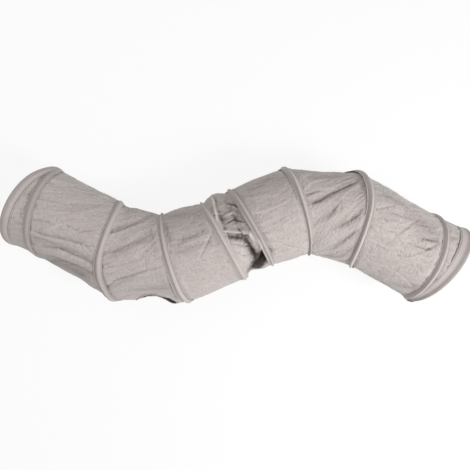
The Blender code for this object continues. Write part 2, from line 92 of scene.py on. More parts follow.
def routeAt(along):
    # plan place and heading on a chain of arcs: a chord at the mean heading, and straight on past the ends
    arc = np.clip(np.searchsorted(arcStart, along, side="right") - 1, 0, len(arcStart) - 1)
    inside = np.clip(along - arcStart[arc], 0.0, arcLength[arc])
    beyond = along - arcStart[arc] - inside
    turned = arcBend[arc] * inside / arcLength[arc]
    chord = inside * np.sinc(turned / 2 / np.pi)
    heading = arcHeading[arc] + turned
    x = arcX[arc] - tube["middle"][0] + chord * np.cos(arcHeading[arc] + turned / 2)
    y = arcY[arc] - tube["middle"][1] + chord * np.sin(arcHeading[arc] + turned / 2)
    return x + beyond * np.cos(heading), y + beyond * np.sin(heading), heading


def swellAt(along, angle):
    total = np.zeros(along.shape)
    for place, middle, out, reach, degrees in tube["swells"]:
        turned = (angle - middle + 180.0) % 360.0 - 180.0
        total += out * np.exp(-(((along - place) / reach) ** 2) - (turned / degrees) ** 2)
    return total


def tubePoint(along, angle, radius):
    # a circle round the route, upright and square to its heading
    along, angle, radius = np.broadcast_arrays(along, angle, radius)
    radius = radius + swellAt(along, angle)
    x, y, heading = routeAt(along)
    side = radius * np.cos(np.radians(angle))
    up = radius * np.sin(np.radians(angle))
    return np.stack((x - side * np.sin(heading), y + side * np.cos(heading), tube["axisHeight"] + up), -1)


def outwardAt(along, angle):
    # the direction straight out from the middle line
    return tubePoint(along, angle, 1.0) - tubePoint(along, angle, 0.0)


topPlace = np.cumsum(arcLength)[:-1]
turnStart = 360.0 * np.arange(len(topPlace))
knotAngle = (turnStart[:, None] + np.array([0.0, 90.0, 180.0])).ravel()
knotPlace = np.stack((topPlace - tube["farBefore"], topPlace, topPlace + tube["nearBeyond"]), 1).ravel()
knotGap = np.diff(knotPlace) / np.diff(knotAngle)
knotMean = 2 * knotGap[:-1] * knotGap[1:] / (knotGap[:-1] + knotGap[1:])
knotRise = np.concatenate((knotGap[:1], knotMean, knotGap[-1:]))
lastWinding = float(knotAngle[-1])


def smooth(share):
    # the cubic ease from 0 to 1
    share = np.clip(share, 0.0, 1.0)
    return share * share * (3 - 2 * share)


def unit(vectors):
    return vectors / np.linalg.norm(vectors, axis=-1, keepdims=True)


def wirePlace(winding):
    # distance along the route of the wire: a cubic between each two knots, with one slope where they meet
    winding = np.clip(winding, 0.0, lastWinding)
    knot = np.clip(np.searchsorted(knotAngle, winding) - 1, 0, len(knotAngle) - 2)
    span = knotAngle[knot + 1] - knotAngle[knot]
    share = (winding - knotAngle[knot]) / span
    square, cube = share ** 2, share ** 3
    return (
        (2 * cube - 3 * square + 1) * knotPlace[knot]
        + (cube - 2 * square + share) * span * knotRise[knot]
        + (3 * square - 2 * cube) * knotPlace[knot + 1]
        + (cube - square) * span * knotRise[knot + 1]
    )


def mouthLine(side, angle):
    # distance along the route of a mouth's wire: its plane leans back and swings a little
    turned = np.radians(angle)
    shift = tube["mouthShift"][side] + tube["mouthSwing"][side] * np.cos(turned)
    return shift + tubeLength * side + (2 * side - 1) * tube["mouthLean"][side] * np.sin(turned)


def leftBorder(angle):
    return tube["clothInset"] + mouthLine(0, angle)


def rightBorder(angle):
    return mouthLine(1, angle) - tube["clothInset"]


def stripLine(winding):
    # the wire's line, carried on past each end by half a turn that eases into the cloth's border
    winding = np.asarray(winding, float)
    wire = wirePlace(winding)
    left, right = leftBorder(winding), rightBorder(winding)
    line = np.where(winding < 0, left + (wire - left) * smooth(1 + winding / 180), wire)
    after = wire + (right - wire) * smooth((winding - lastWinding) / 180)
    return np.where(winding > lastWinding, after, line)


def archLine(turn, angle):
    # where the cloth meets the arch of a turn: under the wire on top, and mirrored below
    angle = angle % 360.0
    return wirePlace(360.0 * turn + np.where(angle <= 180, angle, 360 - angle))


def floorLine(turn, angle):
    # where it meets the half turn that lies on the floor: under the wire there, and mirrored on top
    angle = angle % 360.0
    return wirePlace(360.0 * turn + np.where(angle >= 180, angle, 360 - angle))


# The camera stands almost straight above, which also says where each fold of the picture lies
eye = {"place": (-0.0030, -0.0394, 1.2129), "tilt": 2.18, "lens": 29.72, "sensor": 36.0, "steps": 470}


def seenAt(points):
    # picture place of points: turned by the tilt, then divided by their depth
    x, y, z = np.moveaxis(points - np.array(eye["place"]), -1, 0)
    tilt = np.radians(eye["tilt"])
    up = y * np.cos(tilt) + z * np.sin(tilt)
    depth = y * np.sin(tilt) - z * np.cos(tilt)
    scale = eye["steps"] * eye["lens"] / eye["sensor"] / depth
    half = eye["steps"] / 2
    return np.stack((half + x * scale, half - up * scale), -1)


# Multipliers that scatter the noise's slopes, of a column, a row, a seed and their sine, and its gain
noise = {"column": 127.1, "row": 311.7, "seed": 74.7, "sine": 43758.5453, "gain": 1.5}


def swirl(cells, along, around, seed):
    # gradient noise: a random slope at each corner of a lattice that closes round the tube, with an ease
    # between them
    column, row = np.floor(around), np.floor(along)
    total = 0.0
    for stepColumn in (0, 1):
        for stepRow in (0, 1):
            corner = np.mod(column + stepColumn, cells) * noise["column"]
            corner = corner + (row + stepRow) * noise["row"] + seed * noise["seed"]
            turn = np.sin(corner) * noise["sine"]
            turn = 2 * np.pi * (turn - np.floor(turn))
            offColumn, offRow = around - column - stepColumn, along - row - stepRow
            weight = (1 - smooth(np.abs(offColumn))) * (1 - smooth(np.abs(offRow)))
            total = total + weight * (np.cos(turn) * offColumn + np.sin(turn) * offRow)
    return noise["gain"] * total


# The cloth, with its folds: depths and widths in metres
millimetre = 0.001
cloth = {
    "neck": 0.0006,  # how far the taut cloth draws in between two turns
    "sag": 0.0040,  # how far it lies down towards the floor
    "seamClear": 0.006,  # no deep folds this close to a casing
    "seamFade": 0.013,  # and the width in which they set in
    "fineClear": 0.003,
    "fineFade": 0.009,
    "crumpleFade": 0.008,
    "drawnFade": 0.006,
    "lift": 0.0014,  # the mean depth of the noise, taken off again
    "longRound": 0.006,  # how round the bottoms of the long folds are
    "fineRound": 0.004,
    "thickness": 0.0005,
    "slackTurns": (1080.0, 1350.0),  # windings between which the cloth hangs slack
    "slackEase": 90.0,
    "slackDepth": 0.003,
    "slackMean": 0.35,
    "slants": (0.5, 0.75, 0.9, -0.25, 0.0, 0.1, 1.3, 0.35, 0.2),  # turns round the tube to a metre along it
    "lowest": 0.0009,  # above the floor
    "leastWidth": 0.0001,
    "beyond": 0.012,  # how far the map reaches past the mouths
    "gridStep": 0.001,
    "gridTurn": 0.5,
}

# Layers of noise in the cloth: cells round the tube, metres to a cell along it, seed, and depth in metres.
# The first one pushes the others about, by that share of a cell.
layers = {
    "bend": (9, 0.070, 3, 0.35),
    "long": (20, 0.085, 11, 0.0026),
    "fine": (48, 0.055, 17, 0.0011),
    "finest": (105, 0.030, 19, 0.0004),
    "crumple": (60, 0.013, 31, 0.0004),
    "crisp": (58, 0.017, 37, 0.0013),
    "broad": (9, 0.070, 53, 0.0022),
    "loose": (16, 0.040, 41, 0.5),  # a share of the slack depth
    "looseFine": (40, 0.020, 43, 0.0018),
}

# How depth turns into painted shade and highlight: the depths that count as full for a small crease and for
# a fold, then for hollows and for deep places the strength, the depth at which it starts and the depth over
# which it grows
toning = {
    "blurs": (1, 6, 60),
    "crease": 0.0008,
    "fold": 0.005,
    "hollow": (0.24, 0.005, 0.020),
    "deep": (0.60, 0.026, 0.014),
    "drawn": 1.7,  # gain of the drawn painted shades
}

# How a drawn fold or shade falls off with the distance from its line, measured in its own widths
crease = {
    "steepSide": 0.55,
    "evenSide": 1.0,
    "gentleSide": 1.6,
    "power": 1.5,
    "atEnds": 0.45,  # its depth at both ends of the line
    "between": 0.55,  # and what it has more than that along the middle
    "endWidths": 3,
    "boxWidths": 5,
    "pick": 2,  # every second point of the map will do to find the line's places
}

# Where the cloth stands out from the straight way between two turns: winding, share of the way, metres out,
# and how far it reaches in degrees and in share
bulges = [
    (362.0, 0.60, -0.0040, 50, 0.28),
    (362.0, 0.20, -0.0080, 40, 0.14),
    (722.0, 0.55, 0.004, 45, 0.33),
    (1082.0, 0.48, 0.011, 40, 0.30),
    (1442.0, 0.50, 0.004, 50, 0.42),
    (1802.0, 0.62, -0.0035, 50, 0.34),
    (2162.0, 0.25, 0.002, 50, 0.30),
    (182.0, 0.62, -0.004, 40, 0.30),
    (514.0, 0.62, -0.0045, 20, 0.28),
    (570.0, 0.68, 0.031, 22, 0.28),
    (902.0, 0.35, 0.004, 40, 0.35),
    (1270.0, 0.30, -0.012, 40, 0.25),
    (1622.0, 0.60, 0.002, 40, 0.40),
]

# Folds read off the picture. Each is its depth and width in millimetres, the side on which it is steep
# (1 to the right of the way it runs, -1 to the left, 0 for both), and the picture places it runs through.
folds = [
    # lead in
    (1.2, 5, 0, [(30, 190), (20, 214), (19, 236)]),
    # section 1
    (1.6, 5, 1, [(51, 185), (71, 190), (92, 194), (108, 200)]),
    (1.4, 5, 1, [(38, 199), (65, 204), (108, 206)]),
    (0.9, 4, 1, [(29, 208), (60, 211), (92, 212)]),
    (1.6, 4, 1, [(29, 220), (45, 221), (51, 224)]),
    (-1.2, 4, 0, [(41, 231), (52, 227), (65, 223)]),
    (1.7, 4, 1, [(65, 225), (79, 231), (93, 230)]),
    (5.0, 8, 1, [(30, 230), (43, 235), (57, 238), (71, 241), (88, 246)]),
    (7.0, 10, 1, [(36, 246), (57, 249), (82, 259), (92, 264)]),
    (9.0, 15, 0, [(40, 254), (60, 262), (92, 275)]),
    (1.0, 3, 0, [(80, 247), (89, 256)]),
    (1.0, 3, 0, [(84, 244), (92, 254)]),
    # section 2
    (2.0, 7, 1, [(107, 233), (124, 229), (139, 221), (153, 214)]),
    (-1.0, 5, 0, [(113, 245), (125, 242)]),
    (2.2, 7, 1, [(100, 255), (114, 251), (128, 245), (143, 239)]),
    (1.6, 6, 1, [(102, 268), (117, 267), (138, 260)]),
    (2.2, 5, 1, [(104, 289), (115, 281), (133, 275), (163, 267)]),
    (1.2, 4, 0, [(160, 236), (150, 248), (140, 254)]),
    # section 3
    (1.6, 5, 1, [(169, 240), (182, 239), (197, 236)]),
    (1.3, 5, 1, [(172, 254), (182, 251), (192, 247)]),
    (2.0, 3, 1, [(211, 233), (206, 245), (201, 256)]),
    (1.0, 4, 0, [(210, 255), (220, 250)]),
    (1.2, 3, 0, [(192, 204), (196, 208)]),
    # section 4
    (17.0, 16, 1, [(216, 204), (220, 216), (225, 229)]),
    (17.0, 18, 0, [(229, 205), (235, 217), (241, 227)]),
    (-10.0, 3, 0, [(213, 200), (214, 208), (217, 218)]),
    (6.0, 4, 1, [(222, 192), (229, 192), (234, 197)]),
    (7.0, 4, 1, [(225, 201), (233, 202), (239, 207)]),
    (-4.0, 4, 0, [(222, 213), (231, 210), (238, 214)]),
    (4.0, 3, 1, [(226, 222), (233, 217), (238, 220), (244, 222)]),
    (-9.0, 4, 1, [(221, 231), (233, 232), (243, 233), (249, 234), (251, 239)]),
    (18.0, 6, 0, [(226, 236), (231, 237), (236, 238)]),
    (20.0, 8, 0, [(238, 238), (245, 241)]),
    (-10.0, 16, 0, [(235, 249), (242, 260)]),
    (2.4, 3, 0, [(231, 243), (240, 245), (247, 249)]),
    (2.0, 3, 0, [(238, 253), (247, 257)]),
    (22, 11, -1, [(245, 237), (250, 245), (254, 253), (257, 261)]),
    (-9.0, 4, 0, [(258, 241), (262, 249)]),
    (40.0, 10, 0, [(266, 253), (264, 261), (260, 267), (256, 271)]),
    # section 5
    (-1.2, 4, 1, [(252, 214), (273, 208), (289, 200)]),
    (1.4, 5, 1, [(268, 232), (279, 230), (284, 233)]),
    (1.2, 4, 1, [(270, 242), (279, 242), (291, 247), (305, 249)]),
    # section 6
    (1.6, 4, 1, [(304, 196), (316, 192), (326, 191)]),
    (3.6, 8, 1, [(307, 205), (320, 201), (328, 195), (338, 190), (358, 181)]),
    (2.0, 5, 1, [(324, 222), (333, 213), (340, 202)]),
    (1.2, 4, 0, [(340, 215), (342, 204)]),
    (2.2, 7, 1, [(333, 230), (345, 224), (356, 218), (362, 209)]),
    (1.8, 5, 1, [(340, 244), (349, 236), (358, 230)]),
    (1.4, 5, 1, [(316, 252), (330, 250), (343, 245)]),
    (1.4, 3, 0, [(308, 208), (311, 218)]),
    (1.2, 3, 0, [(313, 238), (314, 243)]),
    # section 7
    (1.4, 4, 1, [(375, 211), (382, 208), (393, 207)]),
    (1.8, 7, 1, [(384, 211), (402, 216), (410, 220)]),
    (1.8, 4, 1, [(398, 235), (407, 229), (420, 219)]),
    (1.2, 4, 1, [(376, 232), (383, 230), (393, 232), (396, 235)]),
    (1.0, 3, 0, [(385, 245), (397, 237)]),
    (1.2, 3, 0, [(396, 236), (405, 245)]),
    (1.0, 3, 0, [(405, 248), (409, 244)]),
    (2.0, 5, 1, [(413, 245), (427, 250), (436, 246)]),
    (1.4, 5, 1, [(418, 238), (439, 242)]),
    (1.4, 4, 1, [(394, 255), (407, 257), (420, 253), (433, 248)]),
    (1.0, 4, 1, [(396, 270), (409, 281)]),
    (1.0, 4, 1, [(398, 277), (415, 286)]),
]

# Soft dark places of the cloth, where it lies in its own shade: each is its strength and its width in
# millimetres, then the side and the line as for a fold
shades = [
    # left
    (0.16, 7, 0, [(39, 183), (29, 206), (28, 232), (35, 254)]),
    # section 1
    (0.30, 18, 0, [(40, 257), (62, 266), (92, 281)]),
    (0.22, 7, 0, [(31, 236), (45, 240), (58, 246)]),
    (0.16, 6, 0, [(60, 248), (76, 252), (92, 262)]),
    (0.10, 8, 0, [(60, 208), (85, 208), (108, 206)]),
    # section 2
    (0.20, 9, 0, [(106, 257), (125, 250), (150, 236)]),
    (0.16, 8, 0, [(108, 231), (130, 226), (152, 215)]),
    (0.16, 10, 0, [(130, 291), (155, 289), (174, 288)]),
    (0.16, 6, 0, [(110, 288), (124, 280), (138, 276)]),
    (0.12, 7, 0, [(150, 226), (153, 240), (158, 256)]),
    # section 3
    (0.24, 5, 0, [(165, 224), (169, 236), (171, 246)]),
    (0.14, 7, 0, [(176, 243), (194, 235), (214, 229)]),
    (0.12, 6, 0, [(176, 256), (192, 249), (210, 242)]),
    (0.28, 6, 0, [(184, 209), (198, 205)]),
    (0.16, 12, 0, [(166, 216), (180, 216), (196, 214)]),
    # slack section
    (0.08, 14, 0, [(218, 202), (229, 207), (238, 215)]),
    (0.08, 14, 0, [(220, 217), (234, 221), (245, 229)]),
    (0.16, 10, 0, [(244, 238), (249, 246), (255, 256)]),
    (0.10, 12, 0, [(232, 200), (238, 209), (246, 224)]),
    (2.60, 13, 0, [(262, 256), (261, 262), (255, 270)]),
    (2.40, 8, 0, [(265, 257), (264, 262), (259, 270)]),
    (0.35, 5, 0, [(212, 196), (207, 201)]),
    # section 5
    (0.14, 12, 0, [(252, 190), (268, 181), (282, 176)]),
    (0.16, 6, 0, [(258, 222), (264, 236), (272, 248)]),
    # section 6
    (0.24, 9, 0, [(306, 204), (325, 198), (344, 188), (358, 181)]),
    (0.20, 4, 0, [(304, 195), (322, 191)]),
    (0.20, 8, 0, [(322, 221), (332, 212), (338, 203)]),
    (0.26, 8, 0, [(335, 229), (350, 222), (362, 212)]),
    (0.24, 6, 0, [(330, 249), (346, 240), (358, 231)]),
    (0.24, 8, 0, [(318, 255), (338, 257), (350, 250)]),
    (0.16, 8, 0, [(310, 178), (330, 177), (350, 176)]),
    (0.20, 7, 0, [(349, 262), (356, 246), (361, 232)]),
    # section 7
    (0.24, 17, 0, [(412, 218), (426, 226), (436, 236)]),
    (0.24, 5, 0, [(418, 239), (438, 242)]),
    (0.14, 5, 0, [(412, 246), (428, 250), (440, 246)]),
    (0.20, 8, 0, [(396, 284), (412, 288), (424, 282)]),
    (0.16, 12, 0, [(378, 191), (396, 202), (414, 210)]),
    (0.16, 9, 0, [(396, 294), (410, 297)]),
    # right
    (0.22, 5, 0, [(449, 231), (459, 230)]),
    (0.20, 5, 0, [(449, 239), (459, 238)]),
]

# One map of the whole cloth, distance along by angle round, carries the folds' depths
mapAlong = np.arange(-cloth["beyond"], tubeLength + cloth["beyond"], cloth["gridStep"])
mapAngle = np.arange(0.0, 360.0 + cloth["gridTurn"] / 2, cloth["gridTurn"])
alongHere, angleHere = np.meshgrid(mapAlong, mapAngle, indexing="ij")


def stripPlaces(along, angle):
    # winding of the turn before a place, the share of the way to the next turn, and that way's length
    unmet = (-1.0, 9.0)  # stand for the lines before and after it until they are found
    winding = np.zeros_like(along)
    low, high = np.full_like(along, unmet[0]), np.full_like(along, unmet[1])
    for turn in range(-2, len(topPlace) + 2):
        line = stripLine(angle + 360.0 * turn)
        after = along >= line
        winding = np.where(after, angle + 360.0 * turn, winding)
        low = np.where(after, line, low)
        high = np.where(~after & (line < high), line, high)
    # a place without one lies beyond the cloth's borders, under a hem
    outside = (low == unmet[0]) | (high == unmet[1])
    low, high = np.where(outside, along, low), np.where(outside, along + cloth["gridStep"], high)
    width = np.maximum(high - low, cloth["leastWidth"])
    return winding, np.clip((along - low) / width, 0, 1), width, low, high


def foldMap(base, table):
    # depth of every fold of a table, added up: each falls off with the distance to its line, by a steep
    # ease on one side and a gentle one on the other
    pick, upperHalf = crease["pick"], round(180.0 / cloth["gridTurn"]) + 1
    facing = base[::pick, :upperHalf:pick]
    seen = seenAt(facing).reshape(-1, 2)
    flat = facing.reshape(-1, 3)
    depth = np.zeros(base.shape[:2])
    for deep, wide, steep, line in table:
        places = np.array([flat[np.argmin(((seen - spot) ** 2).sum(1))] for spot in np.array(line, float)])
        reach = millimetre * wide
        margin = crease["boxWidths"] * reach
        inBox = np.all((base > places.min(0) - margin) & (base < places.max(0) + margin), -1)
        spots = base[inBox]
        nearest, signed = np.full(len(spots), np.inf), np.zeros(len(spots))
        for start, end in zip(places[:-1], places[1:]):
            way = end - start
            share = np.clip((spots - start) @ way / (way @ way), 0, 1)
            off = spots - start - share[:, None] * way
            far = np.linalg.norm(off, axis=1)
            side = way[0] * off[:, 1] - way[1] * off[:, 0]
            closer = far < nearest
            nearest = np.where(closer, far, nearest)
            signed = np.where(closer, np.sign(side), signed)
        toEnds = [np.linalg.norm(spots - places[end], axis=1) for end in (0, -1)]
        away = smooth(np.minimum(*toEnds) / (crease["endWidths"] * reach))
        calm = np.where(steep == 0, crease["evenSide"], crease["gentleSide"])
        width = reach * np.where(signed * steep < 0, crease["steepSide"], calm)
        fall = np.exp(-((nearest / width) ** crease["power"]))
        depth[inBox] += millimetre * deep * fall * (crease["atEnds"] + crease["between"] * away)
    return depth


def noiseLayer(name, turn, pushAlong=0.0, pushAround=0.0):
    cells, length, seed = layers[name][:3]
    return swirl(cells, alongHere / length + pushAlong, turn * cells + pushAround, seed)


def shapeCloth():
    # inward depth of the cloth: the draw between turns, long folds from ridged noise, and the drawn folds
    winding, share, width, low, high = stripPlaces(alongHere, angleHere)
    # taut cloth runs straight from one turn to the next, also where the tube bends
    start, end = (tubePoint(line, angleHere, tube["clothRadius"]) for line in (low, high))
    base = start + share[..., None] * (end - start)
    swell = np.sin(np.pi * share)
    gap = np.minimum(share, 1 - share) * width
    clear = smooth((gap - cloth["seamClear"]) / cloth["seamFade"])
    ease, (slackFirst, slackLast) = cloth["slackEase"], cloth["slackTurns"]
    slack = smooth((winding - slackFirst + ease) / ease) * smooth((slackLast + ease - winding) / ease)
    around = angleHere / 360.0
    # every section has its own direction in which the cloth is pulled, and the folds run along it
    slant = np.interp(winding, 90.0 + 360.0 * np.arange(-1, 8), cloth["slants"])
    pulled = around + slant * ((share - 0.5) * width)
    deep = {name: layer[3] for name, layer in layers.items()}
    bend = deep["bend"] * noiseLayer("bend", around)
    long = noiseLayer("long", pulled, bend, bend)
    fine = noiseLayer("fine", pulled, bend, 1.5 * bend)
    finest = noiseLayer("finest", pulled, 0.0, bend)
    crumple = noiseLayer("crumple", around)
    crisp = np.abs(noiseLayer("crisp", pulled, 1.3 * crumple, crumple))
    broad = noiseLayer("broad", around, bend)
    loose = noiseLayer("loose", around, bend)
    looseFine = noiseLayer("looseFine", around, 0.0, 2 * bend)
    # noise whose size counts and not its sign gives folds with a sharp middle, rounded by a root
    depth = clear * (deep["long"] * np.sqrt(long ** 2 + cloth["longRound"]) + deep["broad"] * broad)
    small = deep["fine"] * np.sqrt(fine ** 2 + cloth["fineRound"]) + deep["finest"] * finest
    depth += smooth((gap - cloth["fineClear"]) / cloth["fineFade"]) * small
    small = deep["crumple"] * crumple + deep["crisp"] * crisp
    depth += smooth(gap / cloth["crumpleFade"]) * small - cloth["lift"] * clear
    depth += cloth["neck"] * swell * (1 - 0.5 * slack)
    hanging = cloth["slackDepth"] * (cloth["slackMean"] + deep["loose"] * loose)
    depth += slack * clear * (hanging + deep["looseFine"] * np.abs(looseFine))
    floorward = np.clip(-np.sin(np.radians(angleHere)), 0, 1) ** 3
    depth -= cloth["sag"] * swell * floorward
    for centre, place, out, degrees, reach in bulges:
        near = np.exp(-(((winding - centre) / degrees) ** 2) - ((share - place) / reach) ** 2)
        depth -= out * clear * near
    depth += foldMap(base, folds) * smooth(gap / cloth["drawnFade"])
    # the shades' strengths came back as if they were millimetres
    shadow = foldMap(base, shades) * 1000.0 * toning["drawn"]
    return depth, base - depth[..., None] * outwardAt(alongHere, angleHere), shadow


clothDepth, clothPoint, clothShadow = shapeCloth()
clothPoint[..., 2] = np.maximum(clothPoint[..., 2], cloth["lowest"])
clothNormal = unit(np.cross(np.gradient(clothPoint, axis=1), np.gradient(clothPoint, axis=0)))


def blurred(table, times):
    # a map with its neighbours mixed in, again and again
    table = table.copy()
    for again in range(times):
        table[1:-1] = (table[:-2] + 2 * table[1:-1] + table[2:]) / 4
        table[:, 1:-1] = (table[:, :-2] + 2 * table[:, 1:-1] + table[:, 2:]) / 4
    return table


# painted shade from the cloth's depth: creases and folds darker than their surroundings, raised places
# lighter, hollows and deep places darker still, and the drawn shades added
fineBlur = blurred(clothDepth, toning["blurs"][1])
broadBlur = blurred(fineBlur, toning["blurs"][2])
clothShade = (blurred(clothDepth, toning["blurs"][0]) - fineBlur) / toning["crease"]
clothShade = clothShade + (fineBlur - broadBlur) / toning["fold"]
hollowShade, deepShade = (
    strength * smooth((clothDepth - start) / over)
    for strength, start, over in (toning["hollow"], toning["deep"])
)
clothShade = 0.5 + 0.5 * np.clip(clothShade, -1, 1) + hollowShade
clothShade += deepShade + clothShadow
print("cloth shaped", clothPoint.shape)


def lookUp(table, along, angle):
    # value of a map at places on the tube, straight between its points
    margin = 1.001  # keeps a place inside the last cell
    row = np.clip((along - mapAlong[0]) / cloth["gridStep"], 0, len(mapAlong) - margin)
    column = np.clip((angle % 360.0) / cloth["gridTurn"], 0, len(mapAngle) - margin)
    i, j = row.astype(int), column.astype(int)
    a, b = row - i, column - j
    if table.ndim == 3:
        a, b = a[..., None], b[..., None]
    near = table[i, j] * (1 - b) + table[i, j + 1] * b
    far = table[i + 1, j] * (1 - b) + table[i + 1, j + 1] * b
    return near * (1 - a) + far * a


def clothAt(along, angle):
    return lookUp(clothPoint, along, angle), unit(lookUp(clothNormal, along, angle))


def shell(outer, normal, thickness, keep=None):
    # a closed thin wall: the outer grid, the same grid set inwards, and a rim along every open edge
    rows, columns = outer.shape[:2]
    index = np.arange(rows * columns).reshape(rows, columns)
    quads = np.stack((index[:-1, :-1], index[:-1, 1:], index[1:, 1:], index[1:, :-1]), -1)
    quads = quads.reshape(-1, 4) if keep is None else quads[keep]
    count = rows * columns
    starts, ends = quads.ravel(), np.roll(quads, -1, 1).ravel()
    key, back = starts * count + ends, ends * count + starts
    edge = ~np.isin(key, back)
    a, b = starts[edge], ends[edge]
    rim = np.stack((b, a, a + count, b + count), -1)
    faces = np.concatenate((quads, quads[:, ::-1] + count, rim))
    points = np.concatenate((outer.reshape(-1, 3), (outer - thickness * normal).reshape(-1, 3)))
    normals = np.concatenate((normal.reshape(-1, 3), -normal.reshape(-1, 3)))
    return points, normals, faces


sharpFrom = 50.0  # degrees between two faces from which their edge shows


def addObject(name, data):
    thing = bpy.data.objects.new(name, data)
    bpy.context.scene.collection.objects.link(thing)
    return thing


def makePiece(name, points, faces, uv, finish, bodies, weight=None, marks=None, normals=None):
    # a piece from arrays, with marks for its finish. Across a joint, its share of the way is laid out on a
    # line first, and the true places follow.
    mesh = bpy.data.meshes.new(name)
    mesh.from_pydata(points.tolist(), [], faces)
    for mark, values in (marks or {}).items():
        values = values.ravel().astype(np.float32)
        mesh.attributes.new(mark, "FLOAT", "POINT").data.foreach_set("value", values)
    layer = mesh.uv_layers.new(name="clothUv")
    corners = np.empty(len(mesh.loops), np.int32)
    mesh.loops.foreach_get("vertex_index", corners)
    layer.data.foreach_set("uv", uv[corners].astype(np.float32).ravel())
    mesh.materials.append(finish)
    piece = addObject(name, mesh)
    if weight is None:
        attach(piece, bodies[0])
    else:
        laid = np.zeros((len(points), 3), np.float32)
        laid[:, 0] = weight
        mesh.vertices.foreach_set("co", laid.ravel())
        mesh.update()
        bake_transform(piece)
        mesh.vertices.foreach_set("co", points.astype(np.float32).ravel())
    mesh.update()
    mesh.shade_smooth()
    if normals is None:
        mesh.set_sharp_from_angle(angle=np.radians(sharpFrom))
    else:
        mesh.normals_split_custom_set_from_vertices(normals.tolist())
    return piece


def newGroup(name, inputs, outputs):
    # a shader group that takes the cloth's own metres and numbers, and gives numbers
    group = bpy.data.node_groups.new(name, "ShaderNodeTree")
    group.interface.new_socket("Cloth", in_out="INPUT", socket_type="NodeSocketVector")
    for label, value in inputs.items():
        socket = group.interface.new_socket(label, in_out="INPUT", socket_type="NodeSocketFloat")
        socket.default_value = value
    for label in outputs:
        group.interface.new_socket(label, in_out="OUTPUT", socket_type="NodeSocketFloat")
    return group, group.nodes.new("NodeGroupInput"), group.nodes.new("NodeGroupOutput")


def addNode(tree, kind, inputs=None, **settings):
    # a node with its settings. Each input is a value, or the output that feeds it.
    node = tree.nodes.new(kind)
    for label, value in settings.items():
        setattr(node, label, value)
    for label, value in (inputs or {}).items():
        if isinstance(value, bpy.types.NodeSocket):
            tree.links.new(value, node.inputs[label])
        else:
            node.inputs[label].default_value = value
    return node


def addMath(tree, operation, a, b=0.0, clamp=False):
    return addNode(tree, "ShaderNodeMath", {0: a, 1: b}, operation=operation, use_clamp=clamp).outputs[0]


def addNoise(tree, vector, scale, detail, roughness=0.5):
    inputs = {"Vector": vector, "Scale": scale, "Detail": detail, "Roughness": roughness}
    return addNode(tree, "ShaderNodeTexNoise", inputs)


def makeWeaveGroup():
    # two sets of threads that pass over and under each other, worked out from the cloth's own metres
    group, entry, exit = newGroup("wovenCloth", {"Thread": 0.0009, "Slub": 0.4}, ("Height", "Tone"))
    place = entry.outputs["Cloth"]
    parts = addNode(group, "ShaderNodeSeparateXYZ", {"Vector": place})
    pitch = addMath(group, "DIVIDE", np.pi, entry.outputs["Thread"])
    warp = addMath(group, "SINE", addMath(group, "MULTIPLY", parts.outputs["X"], pitch))
    weft = addMath(group, "SINE", addMath(group, "MULTIPLY", parts.outputs["Y"], pitch))
    crossing = addMath(group, "MULTIPLY", warp, weft)
    slubs = addNoise(group, place, scale=260.0, detail=3.0)
    uneven = addMath(group, "MULTIPLY", slubs.outputs["Fac"], entry.outputs["Slub"])
    height = addMath(group, "ADD", addMath(group, "ABSOLUTE", crossing), uneven)
    group.links.new(height, exit.inputs["Height"])
    broad = addNoise(group, place, scale=22.0, detail=5.0)
    tone = addMath(group, "ADD", addMath(group, "MULTIPLY", broad.outputs["Fac"], 0.7), uneven)
    group.links.new(tone, exit.inputs["Tone"])
    return group


def makeStitchGroup():
    # a row of stitches at a distance from the middle line: short dashes with a thin gap, sunk into the tape
    gap, furrowWidths = 0.22, 1.9
    sizes = {"Row": 0.0088, "Length": 0.0032, "Width": 0.0011}
    group, entry, exit = newGroup("stitchRow", sizes, ("Stitch", "Furrow"))
    parts = addNode(group, "ShaderNodeSeparateXYZ", {"Vector": entry.outputs["Cloth"]})
    across = addMath(group, "ABSOLUTE", parts.outputs["Y"])
    off = addMath(group, "ABSOLUTE", addMath(group, "SUBTRACT", across, entry.outputs["Row"]))
    widths = addMath(group, "DIVIDE", off, entry.outputs["Width"])
    near = addMath(group, "SUBTRACT", 1.0, widths, clamp=True)
    step = addMath(group, "FRACT", addMath(group, "DIVIDE", parts.outputs["X"], entry.outputs["Length"]))
    dash = addMath(group, "GREATER_THAN", step, gap)
    group.links.new(addMath(group, "MULTIPLY", near, dash), exit.inputs["Stitch"])
    wide = addMath(group, "MULTIPLY", entry.outputs["Width"], furrowWidths)
    furrow = addMath(group, "SUBTRACT", 1.0, addMath(group, "DIVIDE", off, wide), clamp=True)
    group.links.new(furrow, exit.inputs["Furrow"])
    return group


def makeCrinkleGroup():
    # sharp little creases: ridged noise, pushed about by a broader noise, in the cloth's own metres
    group, entry, exit = newGroup("crinkledCloth", {"Creases": 95.0, "Wander": 0.012}, ("Height",))
    push = addNoise(group, entry.outputs["Cloth"], scale=38.0, detail=2.0)
    pushed = {0: push.outputs["Color"], "Scale": entry.outputs["Wander"]}
    shift = addNode(group, "ShaderNodeVectorMath", pushed, operation="SCALE").outputs[0]
    pushed = {0: entry.outputs["Cloth"], 1: shift}
    place = addNode(group, "ShaderNodeVectorMath", pushed, operation="ADD").outputs[0]
    creases = addNoise(group, place, entry.outputs["Creases"], detail=3.0, roughness=0.55)
    middle = addMath(group, "ABSOLUTE", addMath(group, "SUBTRACT", creases.outputs["Fac"], 0.5))
    group.links.new(addMath(group, "MULTIPLY", middle, 2.0), exit.inputs["Height"])
    return group


weaveGroup = makeWeaveGroup()
crinkleGroup = makeCrinkleGroup()
stitchGroup = makeStitchGroup()


def linear(red, green, blue):
    # a colour as a screen shows it, 0 to 255, as the light it stands for
    share = np.array([red, green, blue]) / 255.0
    light = np.where(share <= 0.04045, share / 12.92, ((share + 0.055) / 1.055) ** 2.4)
    return (*[float(value) for value in light], 1.0)


